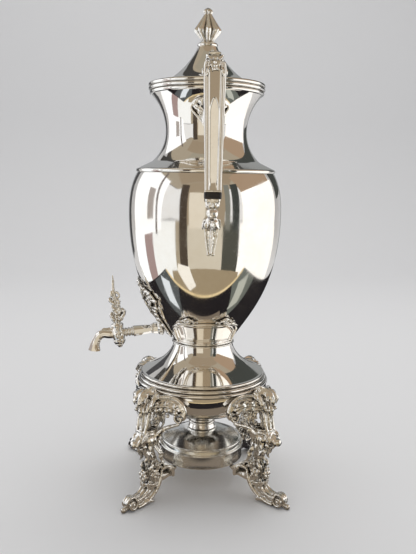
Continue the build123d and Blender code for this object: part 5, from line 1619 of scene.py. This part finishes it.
key_berries = [(7.2, 21.4, 0, 1.8), (8.2, 17.6, 0, 1.4), (-3.8, 19.4, 0, 1.5), (-3.2, 34.4, 0, 1.6),
               (-1.6, 28.2, 0, 1.4), (4.6, 31.6, 0, 1.5), (1.2, 40.6, 0, 1.9)]
for side in (-1, 1):
    key_berries += [(0.8, 14.6, side * 2.6, 1.4), (1.4, 19.4, side * 2.6, 1.4), (0.2, 29.6, side * 2.3, 1.3),
                    (0.5, 24.4, side * 2.2, 1.1), (0.4, 33.6, side * 2, 1.2)]
key_solids += [bead(by_plug(*place), radius) for *place, radius in key_berries]
assembled("key_scrolls", melted(key_solids, 0.36 * mm), cast_silver, ["tap_key"], body="key", crease=70)

# Small pieces that keep their modelled shape
# The plug, the handles' pins and the pierced strainer are plain turned or drawn metal, and only their finish
# is added here.
for name in ("tap_plug", "handle_pins", "tap_strainer"):
    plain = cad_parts[name].data.materials
    plain.clear()
    plain.append(polished_silver)

# The studio
# A pale floor that runs up into a pale backdrop, under one soft light. The windows, door, walls, carpet and
# dark table that the silver mirrors are glowing cards outside the picture, which nothing else sees: painted
# reflections of a room, its lit and shaded places given as brighter and darker glow.
room = bpy.context.scene
room.view_settings.view_transform = "Standard"
middle = Vector((0, 0, 0.2))    # what the light and the cards face
floor_finish, _, floor_surface = new_finish("pale floor")
for name, value in (("Base Color", (0.82, 0.82, 0.83, 1)), ("Roughness", 1.0), ("Specular IOR Level", 0.0)):
    floor_surface.inputs[name].default_value = value
sweep_reach, sweep_bend, sweep_half = 1.3, 0.5, 3.0
angles = np.linspace(-pi / 2, 0, 16)
sweep_line = ([(2.2, 0)] + [(-sweep_reach - sweep_bend * cos(a), sweep_bend + sweep_bend * sin(a))
                            for a in angles] + [(-sweep_reach - sweep_bend, 3.0)])
corners = [(x, side * sweep_half, z) for x, z in sweep_line for side in (-1, 1)]
faces = [(2 * i, 2 * i + 1, 2 * i + 3, 2 * i + 2) for i in range(len(sweep_line) - 1)]
sweep_mesh = bpy.data.meshes.new("sweep")
sweep_mesh.from_pydata(corners, [], faces)
sweep_mesh.shade_smooth()
sweep_mesh.materials.append(floor_finish)
sweep = bpy.data.objects.new("floor_sweep", sweep_mesh)
room.collection.objects.link(sweep)

sky = bpy.data.worlds.new("pale room")
room.world = sky
sky.use_nodes = True
sky_tree = sky.node_tree
background = sky_tree.nodes["Background"]
rays = node(sky_tree, "ShaderNodeLightPath").outputs
seen = maths(sky_tree, "MAXIMUM", rays["Is Camera Ray"], rays["Is Glossy Ray"])
clear = maths(sky_tree, "MAXIMUM", seen, rays["Is Transmission Ray"])
wired(sky_tree, background, Strength=ranged(sky_tree, clear, 0.0, 1.0, 0.55, 0.85))
background.inputs["Color"].default_value = (1, 1, 1, 1)


def aimed(piece, azimuth, height, distance):
    """Puts a light or a card at an azimuth from the eye's side, and turns it to the urn."""
    turn = radians(azimuth) - eye_turn
    place = Vector((distance * cos(turn), distance * sin(turn), height))
    facing = (middle - place).to_track_quat("-Z", "Y").to_matrix().to_4x4()
    piece.matrix_world = Matrix.Translation(place) @ facing


panel = bpy.data.lights.new("overhead", "AREA")
panel.shape = "RECTANGLE"
panel.size = panel.size_y = 1.6
panel.energy = 14
panel.color = (1.0, 0.99, 0.97)
lamp = bpy.data.objects.new("overhead", panel)
room.collection.objects.link(lamp)
aimed(lamp, 170, 1.9, 0.5)
lamp.visible_glossy = False


def board(name, colour, corners):
    """A flat glowing card that only mirrors see: a painted reflection."""
    mesh = bpy.data.meshes.new(name)
    mesh.from_pydata(corners, [], [tuple(range(len(corners)))])
    finish = bpy.data.materials.new(name)
    finish.use_nodes = True
    tree = finish.node_tree
    tree.nodes.clear()
    glow = node(tree, "ShaderNodeEmission", {"Color": (*colour, 1), "Strength": 1.0})
    wired(tree, node(tree, "ShaderNodeOutputMaterial"), Surface=glow.outputs[0])
    mesh.materials.append(finish)
    piece = bpy.data.objects.new(name, mesh)
    room.collection.objects.link(piece)
    piece.visible_camera = piece.visible_diffuse = piece.visible_shadow = False
    return piece


def card(name, azimuth, height, distance, size, colour):
    """A card that stands at an azimuth from the eye's side and faces the urn."""
    x, y = size[0] / 2, size[1] / 2
    aimed(board(name, colour, [(-x, -y, 0), (x, -y, 0), (x, y, 0), (-x, y, 0)]), azimuth, height, distance)


def floor_card(name, layer, colour, outline):
    """A level card, outlined by distances towards the eye and across, at a height in layers."""
    board(name, colour, [
        (ahead * cos(eye_turn) + across * sin(eye_turn), across * cos(eye_turn) - ahead * sin(eye_turn),
         layer * 0.2 * mm) for ahead, across in outline])


def rectangle(near, far, left, right):
    """The outline of a level card between two distances and two sides."""
    return [(near, left), (far, left), (far, right), (near, right)]


def sector(first, last, reach=2.8):
    """The outline of a slice of the floor between two azimuths from the eye's side."""
    return [(0, 0)] + [(reach * cos(radians(a)), reach * sin(radians(a)))
                       for a in np.linspace(first, last, 9)]


card("window_right", 90, 0.36, 1.25, (1.75, 0.86), (1.24, 1.22, 1.19))
card("window_left", -96, 0.55, 1.25, (1.6, 1.25), (1.19, 1.21, 1.24))
card("warm_wall", 0, 0.62, 1.7, (2.0, 1.7), (0.36, 0.29, 0.205))
card("warm_ceiling", 0, 1.75, 1.0, (2.4, 1.1), (0.34, 0.27, 0.19))
card("warm_wall_right", 88, 1.22, 1.3, (2.0, 0.95), (0.40, 0.29, 0.20))
card("pale_door", -11, 0.42, 1.6, (0.67, 0.9), (0.78, 0.71, 0.59))
card("dark_post", -31, 0.5, 1.5, (0.3, 1.3), (0.075, 0.058, 0.045))
card("window_bar_left", -74, 0.55, 1.15, (0.07, 1.3), (0.16, 0.13, 0.12))
card("trees_left", -86, 0.42, 1.2, (0.26, 0.5), (0.42, 0.38, 0.36))
card("dark_screen_right", 33, 0.5, 1.5, (0.2, 1.3), (0.22, 0.22, 0.19))
card("dark_shelf_right", 45, 0.5, 1.5, (0.28, 1.3), (0.055, 0.06, 0.055))
card("dark_edge_right", 143, 1.07, 1.15, (0.68, 1.75), (0.06, 0.065, 0.06))
card("grey_edge_right", 166, 0.45, 1.3, (0.5, 1.7), (0.30, 0.31, 0.31))
card("dark_edge_left", -148, 0.2, 1.15, (0.3, 1.0), (0.07, 0.07, 0.075))
card("dark_wall_behind", 180, 1.75, 1.5, (3.0, 1.5), (0.06, 0.058, 0.055))
card("grey_edge_left", -162, 0.45, 1.3, (0.4, 1.7), (0.36, 0.37, 0.38))
# Slices of the floor that glow for the silver alone: painted reflections of the windows, trees, wall, post,
# door and screen on the floor.
for name, first, last, colour in (("floor_window_left", -128, -100, (1.15, 1.2, 1.25)),
                                  ("floor_trees_left", -100, -82, (0.40, 0.30, 0.29)),
                                  ("floor_window_near_left", -82, -43, (1.0, 1.02, 1.02)),
                                  ("floor_wall_left", -43, -37, (0.42, 0.36, 0.27)),
                                  ("floor_post", -37, -25, (0.085, 0.066, 0.05)),
                                  ("floor_door", -25, 26, (0.66, 0.60, 0.49)),
                                  ("floor_screen", 26, 51, (0.085, 0.085, 0.07)),
                                  ("floor_window_right", 51, 127, (1.2, 1.18, 1.14))):
    floor_card(name, 1, colour, sector(first, last))
floor_card("floor_carpet", 2, (0.36, 0.29, 0.19), sector(-52, 56, 0.40))
floor_card("sunlit_carpet", 3, (1.0, 0.96, 0.88),
           [(0.205, -0.10), (0.25, -0.06), (0.39, -0.17), (0.36, -0.31), (0.29, -0.27)])
floor_card("ceiling", 11500, (0.075, 0.068, 0.06), rectangle(-3.2, 3.2, -3.2, 3.2))
floor_card("ceiling_ahead", 11200, (0.40, 0.345, 0.265), rectangle(-1.0, 3.2, -3.0, 3.0))
floor_card("ceiling_over_urn", 11000, (0.36, 0.325, 0.255), rectangle(-0.75, 0.75, -0.75, 0.75))
table_back, table_front, table_left, table_right = -1.2, 0.185, -0.38, 0.42
table_lip = 0.015
floor_card("table_edge", 4, (0.85, 0.68, 0.40),
           rectangle(table_back, table_front + table_lip, table_left, table_right))
floor_card("dark_table", 5, (0.018, 0.016, 0.018),
           rectangle(table_back, table_front, table_left - 0.01, table_right + 0.01))
# The sheens and streaks on the dark table are painted reflections of light on its polish.
floor_card("table_sheen_left", 6, (0.10, 0.11, 0.115),
           [(0.05, -0.10), (table_front, -0.19), (table_front, table_left), (-0.02, table_left)])
floor_card("table_sheen_right", 6, (0.15, 0.165, 0.15),
           [(0.05, 0.12), (table_front, 0.22), (table_front, table_right), (-0.02, table_right)])
floor_card("table_streak_left", 7, (0.80, 0.86, 0.92),
           [(0.075, -0.13), (0.15, -0.28), (0.09, table_left), (0.05, -0.20)])
floor_card("table_streak_right", 7, (0.50, 0.52, 0.47),
           [(0.075, 0.13), (0.15, 0.28), (0.09, table_right), (0.05, 0.20)])
floor_card("table_by_lamp", 8, (0.20, 0.165, 0.13), rectangle(-0.02, 0.10, -0.09, 0.09))
